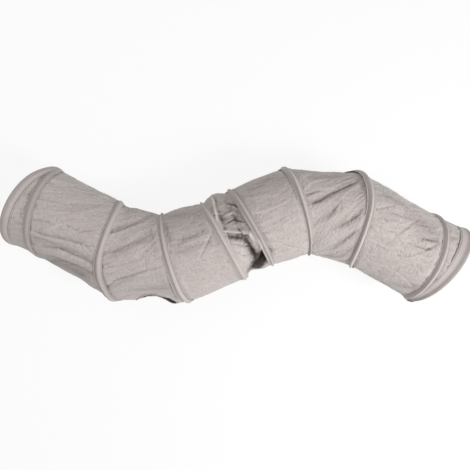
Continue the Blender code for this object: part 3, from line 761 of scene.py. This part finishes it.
finishes = {
    "cloth": {
        "light": linear(197, 188, 185),
        "dark": linear(176, 167, 164),
        # fold is painted shade in creases, edge a painted highlight on raised places, hollow painted shade
        # deep in hollows
        "fold": linear(128, 118, 115),
        "edge": linear(222, 215, 212),
        "hollow": linear(66, 58, 56),
        "thread": 0.0008,
    },
    "tape": {
        "light": linear(200, 192, 188),
        "dark": linear(182, 173, 170),
        # stitch is painted shade in a seam's furrow; sewing is the thread, drawn dark and wide so that it
        # stands for the seam's shade as well
        "stitch": linear(118, 108, 105),
        "sewing": linear(74, 67, 65),
        # flank is the painted shade of a casing's flank and of a hem's rim
        "flank": linear(142, 133, 130),
        "thread": 0.0007,
        "sunk": 0.60,  # how dark the painted shade in a furrow is
        "woven": 0.25,  # the weave's relief against the furrow's
    },
    "steel": {
        "light": (0.60, 0.60, 0.61, 1.0),
        "dark": (0.42, 0.42, 0.43, 1.0),
        "roughness": 0.22,
        "streaks": 0.25,  # the roughness that they add
    },
    "ribbon": {"light": (0.022, 0.022, 0.024, 1.0), "dark": (0.010, 0.010, 0.011, 1.0), "thread": 0.0005},
    # what cloth and tape have in common
    "soft": {"Sheen Weight": 0.25, "Sheen Tint": (0.80, 0.86, 0.82, 1.0), "Specular IOR Level": 0.2},
}


def newMaterial(name, settings):
    material = bpy.data.materials.new(name)
    material.use_nodes = True
    shader = material.node_tree.nodes["Principled BSDF"]
    for label, value in settings.items():
        shader.inputs[label].default_value = value
    return material, material.node_tree, shader


def addWeave(tree, tones):
    # the cloth's own metres, the weave that they give, and the colour that the weave gives
    uv = addNode(tree, "ShaderNodeUVMap", uv_map="clothUv").outputs["UV"]
    inputs = {"Cloth": uv, "Thread": tones["thread"]}
    weave = addNode(tree, "ShaderNodeGroup", inputs, node_tree=weaveGroup)
    return uv, weave, colourMix(tree, weave.outputs["Tone"], tones["light"], tones["dark"])


def addMark(tree, mark):
    return addNode(tree, "ShaderNodeAttribute", attribute_name=mark).outputs["Fac"]


def addRelief(tree, height, strength, distance, **under):
    # small relief, on top of another where one is given
    inputs = {"Height": height, "Strength": strength, "Distance": distance, **under}
    return addNode(tree, "ShaderNodeBump", inputs).outputs["Normal"]


def joinUp(tree, shader, colour, normal):
    tree.links.new(colour, shader.inputs["Base Color"])
    tree.links.new(normal, shader.inputs["Normal"])


def colourMix(tree, share, first, second):
    node = addNode(tree, "ShaderNodeMix", data_type="RGBA")
    for socket, value in ((node.inputs[0], share), (node.inputs[6], first), (node.inputs[7], second)):
        if isinstance(value, bpy.types.NodeSocket):
            tree.links.new(value, socket)
        else:
            socket.default_value = value
    return node.outputs[2]


def makeClothFinish():
    tones = finishes["cloth"]
    settings = {"Roughness": 0.88, "Sheen Roughness": 0.5, **finishes["soft"]}
    material, tree, shader = newMaterial("tunnelCloth", settings)
    uv, weave, colour = addWeave(tree, tones)
    # a mark of one half is plain cloth, less is raised and gets a painted highlight, more lies deep and
    # gets painted shade, and each tone comes in by a gain
    fold = addMark(tree, "foldShade")
    for tone, more, less, gain in (
        ("fold", fold, 0.5, 1.5), ("edge", 0.5, fold, 0.9), ("hollow", fold, 0.95, 1.4),
    ):
        past = addMath(tree, "SUBTRACT", more, less, clamp=True)
        colour = colourMix(tree, addMath(tree, "MULTIPLY", past, gain), colour, tones[tone])
    crinkle = addNode(tree, "ShaderNodeGroup", {"Cloth": uv}, node_tree=crinkleGroup)
    creased = addRelief(tree, crinkle.outputs["Height"], strength=0.7, distance=0.0030)
    normal = addRelief(tree, weave.outputs["Height"], strength=0.25, distance=0.0003, Normal=creased)
    joinUp(tree, shader, colour, normal)
    return material


def makeTapeFinish(name, row, width=0.0011):
    tones = finishes["tape"]
    material, tree, shader = newMaterial(name, {"Roughness": 0.85, **finishes["soft"]})
    uv, weave, colour = addWeave(tree, tones)
    inputs = {"Cloth": uv, "Row": row, "Width": width}
    stitch = addNode(tree, "ShaderNodeGroup", inputs, node_tree=stitchGroup)
    # marks tell where the seam shows faintly and where the tape has painted shade
    plain = addMath(tree, "SUBTRACT", 1.0, addMark(tree, "seamFaint"))
    furrow = addMath(tree, "MULTIPLY", stitch.outputs["Furrow"], plain)
    sewn = addMath(tree, "MULTIPLY", stitch.outputs["Stitch"], plain)
    sunk = addMath(tree, "MULTIPLY", furrow, tones["sunk"])
    for share, tone in ((addMark(tree, "flankShade"), "flank"), (sunk, "stitch"), (sewn, "sewing")):
        colour = colourMix(tree, share, colour, tones[tone])
    woven = addMath(tree, "MULTIPLY", weave.outputs["Height"], tones["woven"])
    height = addMath(tree, "SUBTRACT", woven, furrow)
    joinUp(tree, shader, colour, addRelief(tree, height, strength=0.6, distance=0.0008))
    return material


def makeSteelFinish():
    # drawn steel: fine streaks in colour and roughness
    tones = finishes["steel"]
    material, tree, shader = newMaterial("springSteel", {"Roughness": 0.35, "Metallic": 1.0})
    place = addNode(tree, "ShaderNodeTexCoord").outputs["Object"]
    streaks = addNoise(tree, place, scale=420.0, detail=4.0).outputs["Fac"]
    colour = colourMix(tree, streaks, tones["light"], tones["dark"])
    rough = addMath(tree, "MULTIPLY", streaks, tones["streaks"])
    tree.links.new(addMath(tree, "ADD", rough, tones["roughness"]), shader.inputs["Roughness"])
    joinUp(tree, shader, colour, addRelief(tree, streaks, strength=0.2, distance=0.0001))
    return material


def makeRibbonFinish():
    # a ribbon with fine ribs across it
    material, tree, shader = newMaterial("blackRibbon", {"Roughness": 0.6, "Sheen Weight": 0.3})
    uv, weave, colour = addWeave(tree, finishes["ribbon"])
    joinUp(tree, shader, colour, addRelief(tree, weave.outputs["Height"], strength=0.5, distance=0.0003))
    return material


clothFinish = makeClothFinish()
casingFinish = makeTapeFinish("casingTape", row=0.0072)
hemFinish = makeTapeFinish("hemTape", row=0.0190, width=0.0007)
bindingFinish = makeTapeFinish("bindingTape", row=0.0045)
steelFinish = makeSteelFinish()
ribbonFinish = makeRibbonFinish()
print("finishes made")

# The cloth's pieces: one on each side of every half turn, so that each crosses one fold of the tunnel
panels = {
    "columns": 360,
    "rowLength": 0.0020,
    "rows": (12, 80),  # fewest and most
    "apex": 3.0,  # degrees that a piece leaves free where its two lines meet
    "leastArea": 0.301,  # of the flat size, the least that a piece is said to have
}
peephole = {
    "turns": (1, 2),
    "place": 0.55,
    "radius": 0.053,
    "cutAt": 0.0560,
    "width": 0.0062,
    "thickness": 0.0030,
    "corners": 144,
    "sides": 20,
    "squareness": (0.6, 0.8),
}


def peepholeMiddle():
    first, last = (wirePlace(360.0 * turn + 180.0) for turn in peephole["turns"])
    return float(first + peephole["place"] * (last - first))


def peepholeStretch():
    # the near side is longer than the middle line by the bend of the section
    return 1 + tube["clothRadius"] * arcBend[2] / arcLength[2]


def clothPiece(name, lowLine, highLine, firstAngle, lastAngle, bodies, nodes, hole=False):
    angle = np.linspace(firstAngle, lastAngle, panels["columns"] + 1)
    low, high = lowLine(angle), highLine(angle)
    longest = float((high - low).max())
    fewest, most = panels["rows"]
    rows = int(min(most, max(fewest, round(longest / panels["rowLength"]))))
    share = np.linspace(0.0, 1.0, rows + 1)
    along = low + share[:, None] * (high - low)
    spread = np.broadcast_to(angle, along.shape)
    points, normal = clothAt(along, spread)
    keep = None
    if hole:
        flatAlong = (along - peepholeMiddle()) * peepholeStretch()
        flatAround = np.radians(spread - 180.0) * tube["clothRadius"]
        reach = np.hypot(flatAlong, flatAround)
        centre = (reach[:-1, :-1] + reach[1:, :-1] + reach[:-1, 1:] + reach[1:, 1:]) / 4
        keep = centre > peephole["cutAt"]
    points, normals, faces = shell(points, normal, cloth["thickness"], keep)
    used, faces = np.unique(faces, return_inverse=True)
    uv = np.stack((np.radians(spread) * tube["clothRadius"], along), -1).reshape(-1, 2)
    weight = np.repeat(share[:, None], len(angle), 1).reshape(-1)
    shade = lookUp(clothShade, along, spread).reshape(-1)
    piece = makePiece(
        name, points[used], faces.reshape(-1, 4).tolist(), np.tile(uv, (2, 1))[used], clothFinish, bodies,
        np.tile(weight, 2)[used], {"foldShade": np.tile(shade, 2)[used]}, normals[used],
    )
    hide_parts(*nodes)


# The half turns of wire by their bodies, and the folds between them: arches are joined to the floor halves
# at the near side, and those to the next arches at the far side
turnCount = len(topPlace)
halfTurns = [f"{('arch', 'floor')[leg % 2]}_{leg // 2 + 1}" for leg in range(2 * turnCount - 1)]
foldNames = [f"{('Near', 'Far')[leg % 2]}{leg // 2 + 1}" for leg in range(2 * turnCount - 2)]


def lineOf(leg):
    return lambda angle: (archLine, floorLine)[leg % 2](leg // 2, angle)


clothPiece(
    "clothLeadIn", leftBorder, lineOf(0), 0.0, 360.0,
    ("mouth_left", halfTurns[0]), ["left_lead_in_panel"],
)
for leg, fold in enumerate(foldNames):
    first = (180.0, 0.0)[leg % 2]
    clothPiece(
        "cloth" + fold, lineOf(leg), lineOf(leg + 1),
        first + panels["apex"], first + 360.0 - panels["apex"],
        (halfTurns[leg], halfTurns[leg + 1]), [f"fabric_panel_{leg // 2 + 1}"],
        hole=fold == f"Far{peephole['turns'][1]}",
    )
clothPiece(
    "clothLeadOut", lineOf(2 * turnCount - 2), rightBorder, 0.0, 360.0,
    (halfTurns[-1], "mouth_right"), ["right_lead_out_panel"],
)
print("cloth pieces made")

casing = {
    "halfWidth": 0.0100,
    # of each turn, from the left: crest above the wire's middle, and how far the flanks reach before it and
    # after it
    "crests": (0.0019, 0.0021, 0.0036, 0.0032, 0.0036, 0.0046, 0.0048, 0.0042),
    "before": (0.0092, 0.0054, 0.0048, 0.0054, 0.0050, 0.0058, 0.0076, 0.0088),
    "after": (0.0092, 0.0074, 0.0060, 0.0064, 0.0056, 0.0054, 0.0070, 0.0082),
    # how faint the seam is before and after each turn, at its far side, on top and at its near side; and
    # how much painted shade lies on its flank on the side before it
    "faintBefore": ((0.7, 0.7, 0.7), (0.3, 0.0, 0.7), (0.8, 0.5, 0.1), (0.8, 0.6, 0.2), (0.8, 0.7, 0.7),
                    (0.8, 0.7, 0.7), (0.8, 0.6, 0.5), (0.8, 0.7, 0.7)),
    "faintAfter": ((0.7, 0.7, 0.7), (0.9, 0.8, 0.8), (0.8, 0.6, 0.4), (0.8, 0.7, 0.7), (0.6, 0.4, 0.2),
                   (0.8, 0.7, 0.7), (0.8, 0.4, 0.0), (0.6, 0.2, 0.2)),
    "flank": ((0.0, 0.0, 0.0), (0.1, 0.1, 0.0), (0.0, 0.1, 0.3), (0.0, 0.1, 0.2), (0.0, 0.0, 0.0),
              (0.0, 0.3, 0.6), (0.1, 0.3, 0.5), (0.2, 0.3, 0.2)),
    # how much painted shade lies over the whole of it
    "wholeShade": ((0.42, 0.42, 0.36), (0.10, 0.10, 0.05), (0.10, 0.12, 0.05), (0.0, 0.0, 0.0), (0.20, 0.24, 0.12),
            (0.0, 0.0, 0.0), (0.0, 0.05, 0.05), (0.20, 0.22, 0.15)),
    "crown": 0.0012,  # half of the crest that lies over the wire
    "straight": 0.7,  # share of a flank's fall that is straight
    "eased": 0.3,  # and that is eased
    "foot": -0.0012,  # the flange's upper face
    "wall": 0.0006,
    "edge": 0.0006,  # a flank's shade starts this far from both of its ends
    "edgeFade": 0.0012,
    "lowest": 0.0003,  # above the floor
    "pressedFrom": 0.004,  # height below which the tape is pressed together
    "pressedDepth": 0.0064,  # how far below the wire's middle it would reach there
    "steps": 120,
    "across": 35,
    "turnSoftly": 20.0,  # degrees to either side of a fold over which its share goes from one half turn to the next
}


def byTurn(values, winding):
    # a value of each turn at its top, straight from one to the next
    return np.interp(winding, turnStart + 90.0, values)


def onTurns(rows, winding):
    # values at the far side, on top and at the near side of each turn, straight from one to the next
    return np.interp(winding, knotAngle, np.array(rows).ravel())


def tentProfile(winding):
    # a pocket pushed up by the wire: nearly straight flanks from the crest down to two flat flanges, for
    # every winding a closed profile of points (along, out)
    across = np.linspace(-casing["halfWidth"], casing["halfWidth"], casing["across"])
    before, after = byTurn(casing["before"], winding), byTurn(casing["after"], winding)
    end = np.where(across[None] < 0, before[:, None], after[:, None])
    share = np.clip((np.abs(across)[None] - casing["crown"]) / (end - casing["crown"]), 0, 1)
    fall = casing["eased"] * smooth(share) + casing["straight"] * share
    out = byTurn(casing["crests"], winding)[:, None]
    out = out + (casing["foot"] - out) * fall
    wide = np.broadcast_to(across, out.shape)
    upper, lower = np.stack((wide, out), -1), np.stack((wide, out - casing["wall"]), -1)
    return np.concatenate((upper, lower[:, ::-1]), 1), np.concatenate((across, across[::-1]))


def sweepProfile(place, angle, radius, profile):
    # closed profiles (along, out) carried through places on the tube: one ring of points for each place
    along = place[:, None] + profile[..., 0]
    points = tubePoint(along, np.broadcast_to(angle[:, None], along.shape), radius + profile[..., 1])
    # the lowest millimetres press together on the floor
    high, low = points[..., 2], casing["pressedFrom"]
    deepest = tube["axisHeight"] - tube["wireRadius"] - casing["pressedDepth"]
    pressed = low - (low - high) * (low - casing["lowest"]) / (low - deepest)
    points[..., 2] = np.where(high < low, pressed, high)
    return points


def closedSweep(rings, loops=False):
    # quads round every profile and from each to the next, with the two end profiles as caps unless it loops
    count, size = rings.shape[:2]
    index = np.arange(count * size).reshape(count, size)
    after = np.roll(index, -1, 1)
    here, there = (index, np.roll(index, -1, 0)) if loops else (index[:-1], index[1:])
    nextHere, nextThere = (after, np.roll(after, -1, 0)) if loops else (after[:-1], after[1:])
    quads = np.stack((here, there, nextThere, nextHere), -1).reshape(-1, 4).tolist()
    if not loops:
        quads += [index[0].tolist(), index[-1, ::-1].tolist()]
    return rings.reshape(-1, 3), quads


def sweptUv(run, across):
    # the tape's own metres at every point of a sweep: the run of its ring and the place across
    return np.stack((np.repeat(run, len(across)), np.tile(across, len(run))), -1)


def casingPiece(name, first, last, bodies, nodes):
    winding = np.linspace(first, last, casing["steps"] + 1)
    profile, across = tentProfile(winding)
    rings = sweepProfile(wirePlace(winding), winding, tube["wireRadius"], profile)
    points, faces = closedSweep(rings)
    run = np.radians(winding) * tube["wireRadius"]
    uv = sweptUv(run, across)
    weight = None
    if len(bodies) == 2:
        hinge = (first + last) / 2
        weight = np.clip(0.5 + (winding - hinge) / (2 * casing["turnSoftly"]), 0, 1)
        weight = np.repeat(weight, len(across))
    faint = np.where(
        across[None] < 0,
        onTurns(casing["faintBefore"], winding)[:, None],
        onTurns(casing["faintAfter"], winding)[:, None],
    )
    # painted shade on the flank before the crest, and over the whole tape of some turns
    foot, edge, fade = byTurn(casing["before"], winding)[:, None], casing["edge"], casing["edgeFade"]
    flank = smooth((-across[None] - edge) / fade) * smooth((foot + across[None] + edge) / fade)
    flank = flank * onTurns(casing["flank"], winding)[:, None]
    flank = np.maximum(flank, onTurns(casing["wholeShade"], winding)[:, None])
    marks = {"seamFaint": faint, "flankShade": flank}
    piece = makePiece(name, points, faces, uv, casingFinish, bodies, weight, marks)
    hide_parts(*nodes)


casingPiece("casingStart", 0.0, 90.0, halfTurns[:1], ["casing_arch_1"])
for leg, fold in enumerate(foldNames):
    first = 180.0 * leg + 90
    casingPiece(
        "casing" + fold, first, first + 180,
        halfTurns[leg:leg + 2], ["casing_" + halfTurns[leg + 1]],
    )
casingPiece("casingEnd", lastWinding - 90, lastWinding, halfTurns[-1:], ["casing_" + halfTurns[-1]])
print("casing made")

hem = {
    "steps": 240,
    # the tape's middle line, from its stitched edge over the wire, round the mouth and back inside
    "line": (
        (0.0172, -0.0016), (0.0160, -0.0013), (0.0135, -0.0009), (0.0105, -0.0004), (0.0075, 0.0003),
        (0.0050, 0.0018), (0.0030, 0.0030), (0.0008, 0.0036), (-0.0015, 0.0034), (-0.0035, 0.0022),
        (-0.0045, 0.0), (-0.0040, -0.0026), (-0.0020, -0.0036), (0.0010, -0.0038), (0.0080, -0.0038),
        (0.0172, -0.0036),
    ),
    "wall": 0.0005,
    "rimShade": 0.55,
    "rim": ((0.0085, 0.005), (0.0290, 0.004)),  # where on the run it starts and ends, and how softly
    "seamRun": 0.021,  # run of the tape from which the seam is measured
    "faint": (0.0, 0.45),
    "reach": (1.18, 1.45),  # how much further in than that line each mouth's seam lies, left mouth first
    "reachFrom": 0.003,
}


def tapeProfile(line, wall, fine=4, rounds=4):
    # a smooth strip along a line of points, cut finer and rounded, with its wall set off square to it
    line = np.array(line)
    at = np.arange(len(line))
    dense = np.linspace(0, len(line) - 1, (len(line) - 1) * fine + 1)
    middle = np.stack([np.interp(dense, at, line[:, axis]) for axis in (0, 1)], 1)
    for again in range(rounds):
        middle[1:-1] = (middle[:-2] + 2 * middle[1:-1] + middle[2:]) / 4
    way = unit(np.gradient(middle, axis=0))
    off = np.stack((way[:, 1], -way[:, 0]), 1) * wall / 2
    run = np.concatenate(([0.0], np.cumsum(np.linalg.norm(np.diff(middle, axis=0), axis=1))))
    return np.concatenate((middle - off, (middle + off)[::-1])), np.concatenate((run, run[::-1]))


def hemPiece(name, mouth, body, node):
    side = 2 * mouth - 1
    profile, run = tapeProfile(hem["line"], hem["wall"])
    beyond = np.maximum(profile[:, 0] - hem["reachFrom"], 0.0)
    profile = profile + np.stack((beyond * (hem["reach"][mouth] - 1), np.zeros_like(beyond)), 1)
    profile = profile * np.array([-side, 1.0])
    if mouth:
        profile, run = profile[::-1], run[::-1]
    angle = np.linspace(0.0, 360.0, hem["steps"], endpoint=False)
    rings = sweepProfile(mouthLine(mouth, angle), angle, tube["wireRadius"], profile[None, ::-1])
    run = run[::-1]
    points, faces = closedSweep(rings, loops=True)
    uv = sweptUv(np.radians(angle) * tube["wireRadius"], run - hem["seamRun"])
    # the rim over the wire has painted shade, a little darker
    (start, startFade), (end, endFade) = hem["rim"]
    rim = np.tile(smooth((run - start) / startFade) * smooth((end - run) / endFade), len(angle))
    marks = {"flankShade": rim * hem["rimShade"], "seamFaint": np.full(len(points), hem["faint"][mouth])}
    piece = makePiece(name, points, faces, uv, hemFinish, (body,), marks=marks)
    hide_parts(node)


hemPiece("hemLeft", 0, "mouth_left", "left_mouth_hem")
hemPiece("hemRight", 1, "mouth_right", "right_mouth_hem")
print("hems made")


def flatRing(sides, halfWidth, halfHeight, powers):
    # places round an ellipse, squarer the smaller the powers
    turned = np.linspace(0.0, 2 * np.pi, sides, endpoint=False)
    across = halfWidth * np.sign(np.cos(turned)) * np.abs(np.cos(turned)) ** powers[0]
    return across, halfHeight * np.sign(np.sin(turned)) * np.abs(np.sin(turned)) ** powers[1]


def bindingPiece():
    # folded tape along the peephole's rim: a rounded flat profile set on the cloth and square to its edge
    turned = np.linspace(0.0, 2 * np.pi, peephole["corners"], endpoint=False)
    half, thick = peephole["width"] / 2, peephole["thickness"] / 2
    across, out = flatRing(peephole["sides"], half, thick, peephole["squareness"])
    reach = peephole["radius"] + half + across
    along = peepholeMiddle() + reach[None] * np.cos(turned)[:, None] / peepholeStretch()
    angle = 180.0 + np.degrees(reach[None] * np.sin(turned)[:, None] / tube["clothRadius"])
    points, normal = clothAt(along, angle)
    points = points + normal * (out[None, :, None] - cloth["thickness"] / 2)
    points, faces = closedSweep(points, loops=True)
    low, high = floorLine(peephole["turns"][0], angle), archLine(peephole["turns"][1], angle)
    weight = ((along - low) / (high - low)).reshape(-1)
    uv = sweptUv(turned * peephole["radius"], across + half)
    piece = makePiece("peepholeBinding", points, faces, uv, bindingFinish, ("floor_2", "arch_3"), weight)
    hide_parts("peephole_binding")


bindingPiece()

# The steel inside: a wire in every half turn of casing and round each mouth, and the sleeves of the mouths'
# wires
wire = {
    "radius": 0.0011,
    "sides": 12,
    "steps": 90,
    "sleeve": (0.0034, 0.0020),
    "sleeveAngles": (90 / 11, 2070 / 11),
    "sleeveReach": 2.85,  # degrees to either side
    "sleeveSteps": 12,
    "squareness": 0.5,
}


def ringProfile(halfWidth, halfHeight, power):
    return np.stack(flatRing(wire["sides"], halfWidth, halfHeight, (power, power)), -1)[::-1]


def steelPiece(name, place, angle, profile, body, node, loops=False):
    along = place[:, None] + profile[None, :, 0]
    rings = tubePoint(along, angle[:, None], tube["wireRadius"] + profile[None, :, 1])
    points, faces = closedSweep(rings, loops)
    piece = makePiece(name, points, faces, np.zeros((len(points), 2)), steelFinish, (body,))
    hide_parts(node)


roundWire = ringProfile(wire["radius"], wire["radius"], 1.0)
sleeve = ringProfile(*wire["sleeve"], wire["squareness"])
for leg, half in enumerate(halfTurns):
    winding = np.linspace(180.0 * leg, 180.0 * leg + 180.0, wire["steps"] + 1)
    name = "wire" + half.title().replace("_", "")
    steelPiece(name, wirePlace(winding), winding, roundWire, half, "wire_" + half)
for mouth, word in enumerate(("left", "right")):
    body = f"mouth_{word}"
    angle = np.linspace(0.0, 360.0, 2 * wire["steps"], endpoint=False)
    place = mouthLine(mouth, angle)
    steelPiece(f"{word}MouthWire", place, angle, roundWire, body, f"{word}_mouth_wire", loops=True)
    spread = np.linspace(-1, 1, wire["sleeveSteps"] + 1) * wire["sleeveReach"]
    angle = wire["sleeveAngles"][mouth] + spread
    steelPiece(f"{word}Sleeve", mouthLine(mouth, angle), angle, sleeve, body, f"{word}_crimp_sleeve")
print("wires made")

ribbon = {
    "width": 0.010,
    "thickness": 0.0006,
    "angles": (174.0, 181.0),  # where each tail passes over the mouth's edge
    "ends": (216.0, 229.0),  # and where it ends, lower on the tunnel's inside
    "insides": (0.072, 0.052),  # metres from the mouth to that end
    "outside": 0.008,  # sewn to the hem's outer side
    "lift": 0.0012,
    "bendRadius": 0.0050,
    "bendReach": 0.0055,
    "bendMiddle": 0.1211,
    # shares of the strip's run: where it is sewn on, then the start and the length of its bend and slope
    "sewnRun": 0.14,
    "bendRun": (0.10, 0.16),
    "slopeRun": (0.22, 0.78),
    "slopePower": 1.6,
    "steps": 72,
    "across": 9,
}


def ribbonTail(name, tail, node):
    # a flat strip sewn to the hem's outer side, laid over the mouth's edge, and sliding down the inside
    # wall: a straight, a half circle and a slope that gets steeper, each a share of the strip's run
    run = np.linspace(0.0, 1.0, ribbon["steps"] + 1)
    over = np.pi * smooth((run - ribbon["bendRun"][0]) / ribbon["bendRun"][1])
    back = np.clip((run - ribbon["slopeRun"][0]) / ribbon["slopeRun"][1], 0, 1)
    start = ribbon["angles"][tail]
    along = -ribbon["outside"] * (1 - smooth(run / ribbon["sewnRun"])) + ribbon["lift"]
    along = along + ribbon["bendReach"] * np.sin(over) - ribbon["insides"][tail] * back
    out = ribbon["bendMiddle"] + ribbon["bendRadius"] * np.cos(over)
    angle = start + (ribbon["ends"][tail] - start) * back ** ribbon["slopePower"]
    place = mouthLine(1, angle)
    middle = tubePoint(place + along, angle, out)
    way = unit(np.gradient(middle, axis=0))
    # the strip lies flat: its normal turns over with the bend, and its width is square to both
    heading = routeAt(place)[2]
    ahead = np.stack((np.cos(heading), np.sin(heading), np.zeros_like(heading)), -1)
    thin = np.cos(over)[:, None] * outwardAt(place, angle) + np.sin(over)[:, None] * ahead
    thin = unit(thin - (thin * way).sum(1, keepdims=True) * way)
    wide = np.cross(thin, way)
    corner = np.linspace(-1, 1, ribbon["across"])
    across = np.concatenate((corner, corner[::-1]))
    deep = np.repeat((0.5, -0.5), ribbon["across"])
    rings = (
        middle[:, None]
        + across[None, :, None] * wide[:, None] * ribbon["width"] / 2
        + deep[None, :, None] * thin[:, None] * ribbon["thickness"]
    )
    points, faces = closedSweep(rings)
    measured = float(np.linalg.norm(np.diff(middle, axis=0), axis=1).sum())
    uv = sweptUv(run * measured, across * ribbon["width"] / 2)[:, ::-1]
    piece = makePiece(name, points, faces, uv, ribbonFinish, ("mouth_right",))
    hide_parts(node)
    print(name, "is", round(measured, 4), "long")


ribbonTail("ribbonTail1", 0, "closing_tie_1")
ribbonTail("ribbonTail2", 1, "closing_tie_2")
print("binding and ribbon made")

studio = {
    "worldLight": 0.427,
    "worldColour": (1.0, 0.99, 0.985, 1.0),
    "lamps": (  # name, light, place and size
        ("keyLamp", 42.8, (1.60, -0.85, 1.60), 0.8),
        ("fillLamp", 16.0, (-1.3, 0.8, 2.2), 2.4),
    ),
    "lampsAim": (0.0, 0.0, 0.1),
    "floorHalf": 9,
    "floorShown": 0.86,  # share of plain white in what the camera sees of the floor
    "floorGrey": (0.9, 0.9, 0.9, 1.0),
    "cameraSees": (0.05, 30.0),
}


def showWhite(tree, plain, kind, output, share=1.0):
    # what the eye sees, straight or by a reflection, is white in that share; the rest gives its own light
    white = addNode(tree, kind, {"Color": (1, 1, 1, 1), "Strength": 1.0})
    path = addNode(tree, "ShaderNodeLightPath")
    seen = addMath(tree, "MAXIMUM", path.outputs["Is Camera Ray"], path.outputs["Is Glossy Ray"])
    seen = addMath(tree, "MAXIMUM", seen, path.outputs["Is Transmission Ray"])
    inputs = {0: addMath(tree, "MULTIPLY", seen, share), 1: plain.outputs[0], 2: white.outputs[0]}
    mix = addNode(tree, "ShaderNodeMixShader", inputs)
    tree.links.new(mix.outputs[0], tree.nodes[output].inputs["Surface"])


def makeStudio():
    half = studio["floorHalf"]
    mesh = bpy.data.meshes.new("paleFloor")
    corners = [(-half, -half, 0), (half, -half, 0), (half, half, 0), (-half, half, 0)]
    mesh.from_pydata(corners, [], [(0, 1, 2, 3)])
    floor = addObject("paleFloor", mesh)
    settings = {"Base Color": studio["floorGrey"], "Roughness": 0.9, "Specular IOR Level": 0.1}
    material, tree, shader = newMaterial("paleFloor", settings)
    showWhite(tree, shader, "ShaderNodeEmission", "Material Output", studio["floorShown"])
    mesh.materials.append(material)

    world = bpy.data.worlds.new("paleStudio")
    bpy.context.scene.world = world
    world.use_nodes = True
    plain = world.node_tree.nodes["Background"]
    plain.inputs["Color"].default_value = studio["worldColour"]
    plain.inputs["Strength"].default_value = studio["worldLight"]
    showWhite(world.node_tree, plain, "ShaderNodeBackground", "World Output")

    for name, energy, place, size in studio["lamps"]:
        lamp = bpy.data.lights.new(name, "AREA")
        lamp.energy, lamp.size = energy, size
        holder = addObject(name, lamp)
        holder.location = place
        aim = np.array(studio["lampsAim"]) - np.array(place)
        tilt, turn = np.arccos(-aim[2] / np.linalg.norm(aim)), np.arctan2(aim[1], aim[0]) - np.pi / 2
        holder.rotation_euler = (float(tilt), 0.0, float(turn))


def makeCamera():
    data = bpy.data.cameras.new("overheadCamera")
    data.lens, data.sensor_width = eye["lens"], eye["sensor"]
    data.clip_start, data.clip_end = studio["cameraSees"]
    camera = addObject("overheadCamera", data)
    camera.location = eye["place"]
    camera.rotation_euler = (float(np.radians(eye["tilt"])), 0.0, 0.0)
    bpy.context.scene.camera = camera


makeStudio()
makeCamera()
bpy.context.scene.view_settings.view_transform = "Standard"
print("studio and camera set")
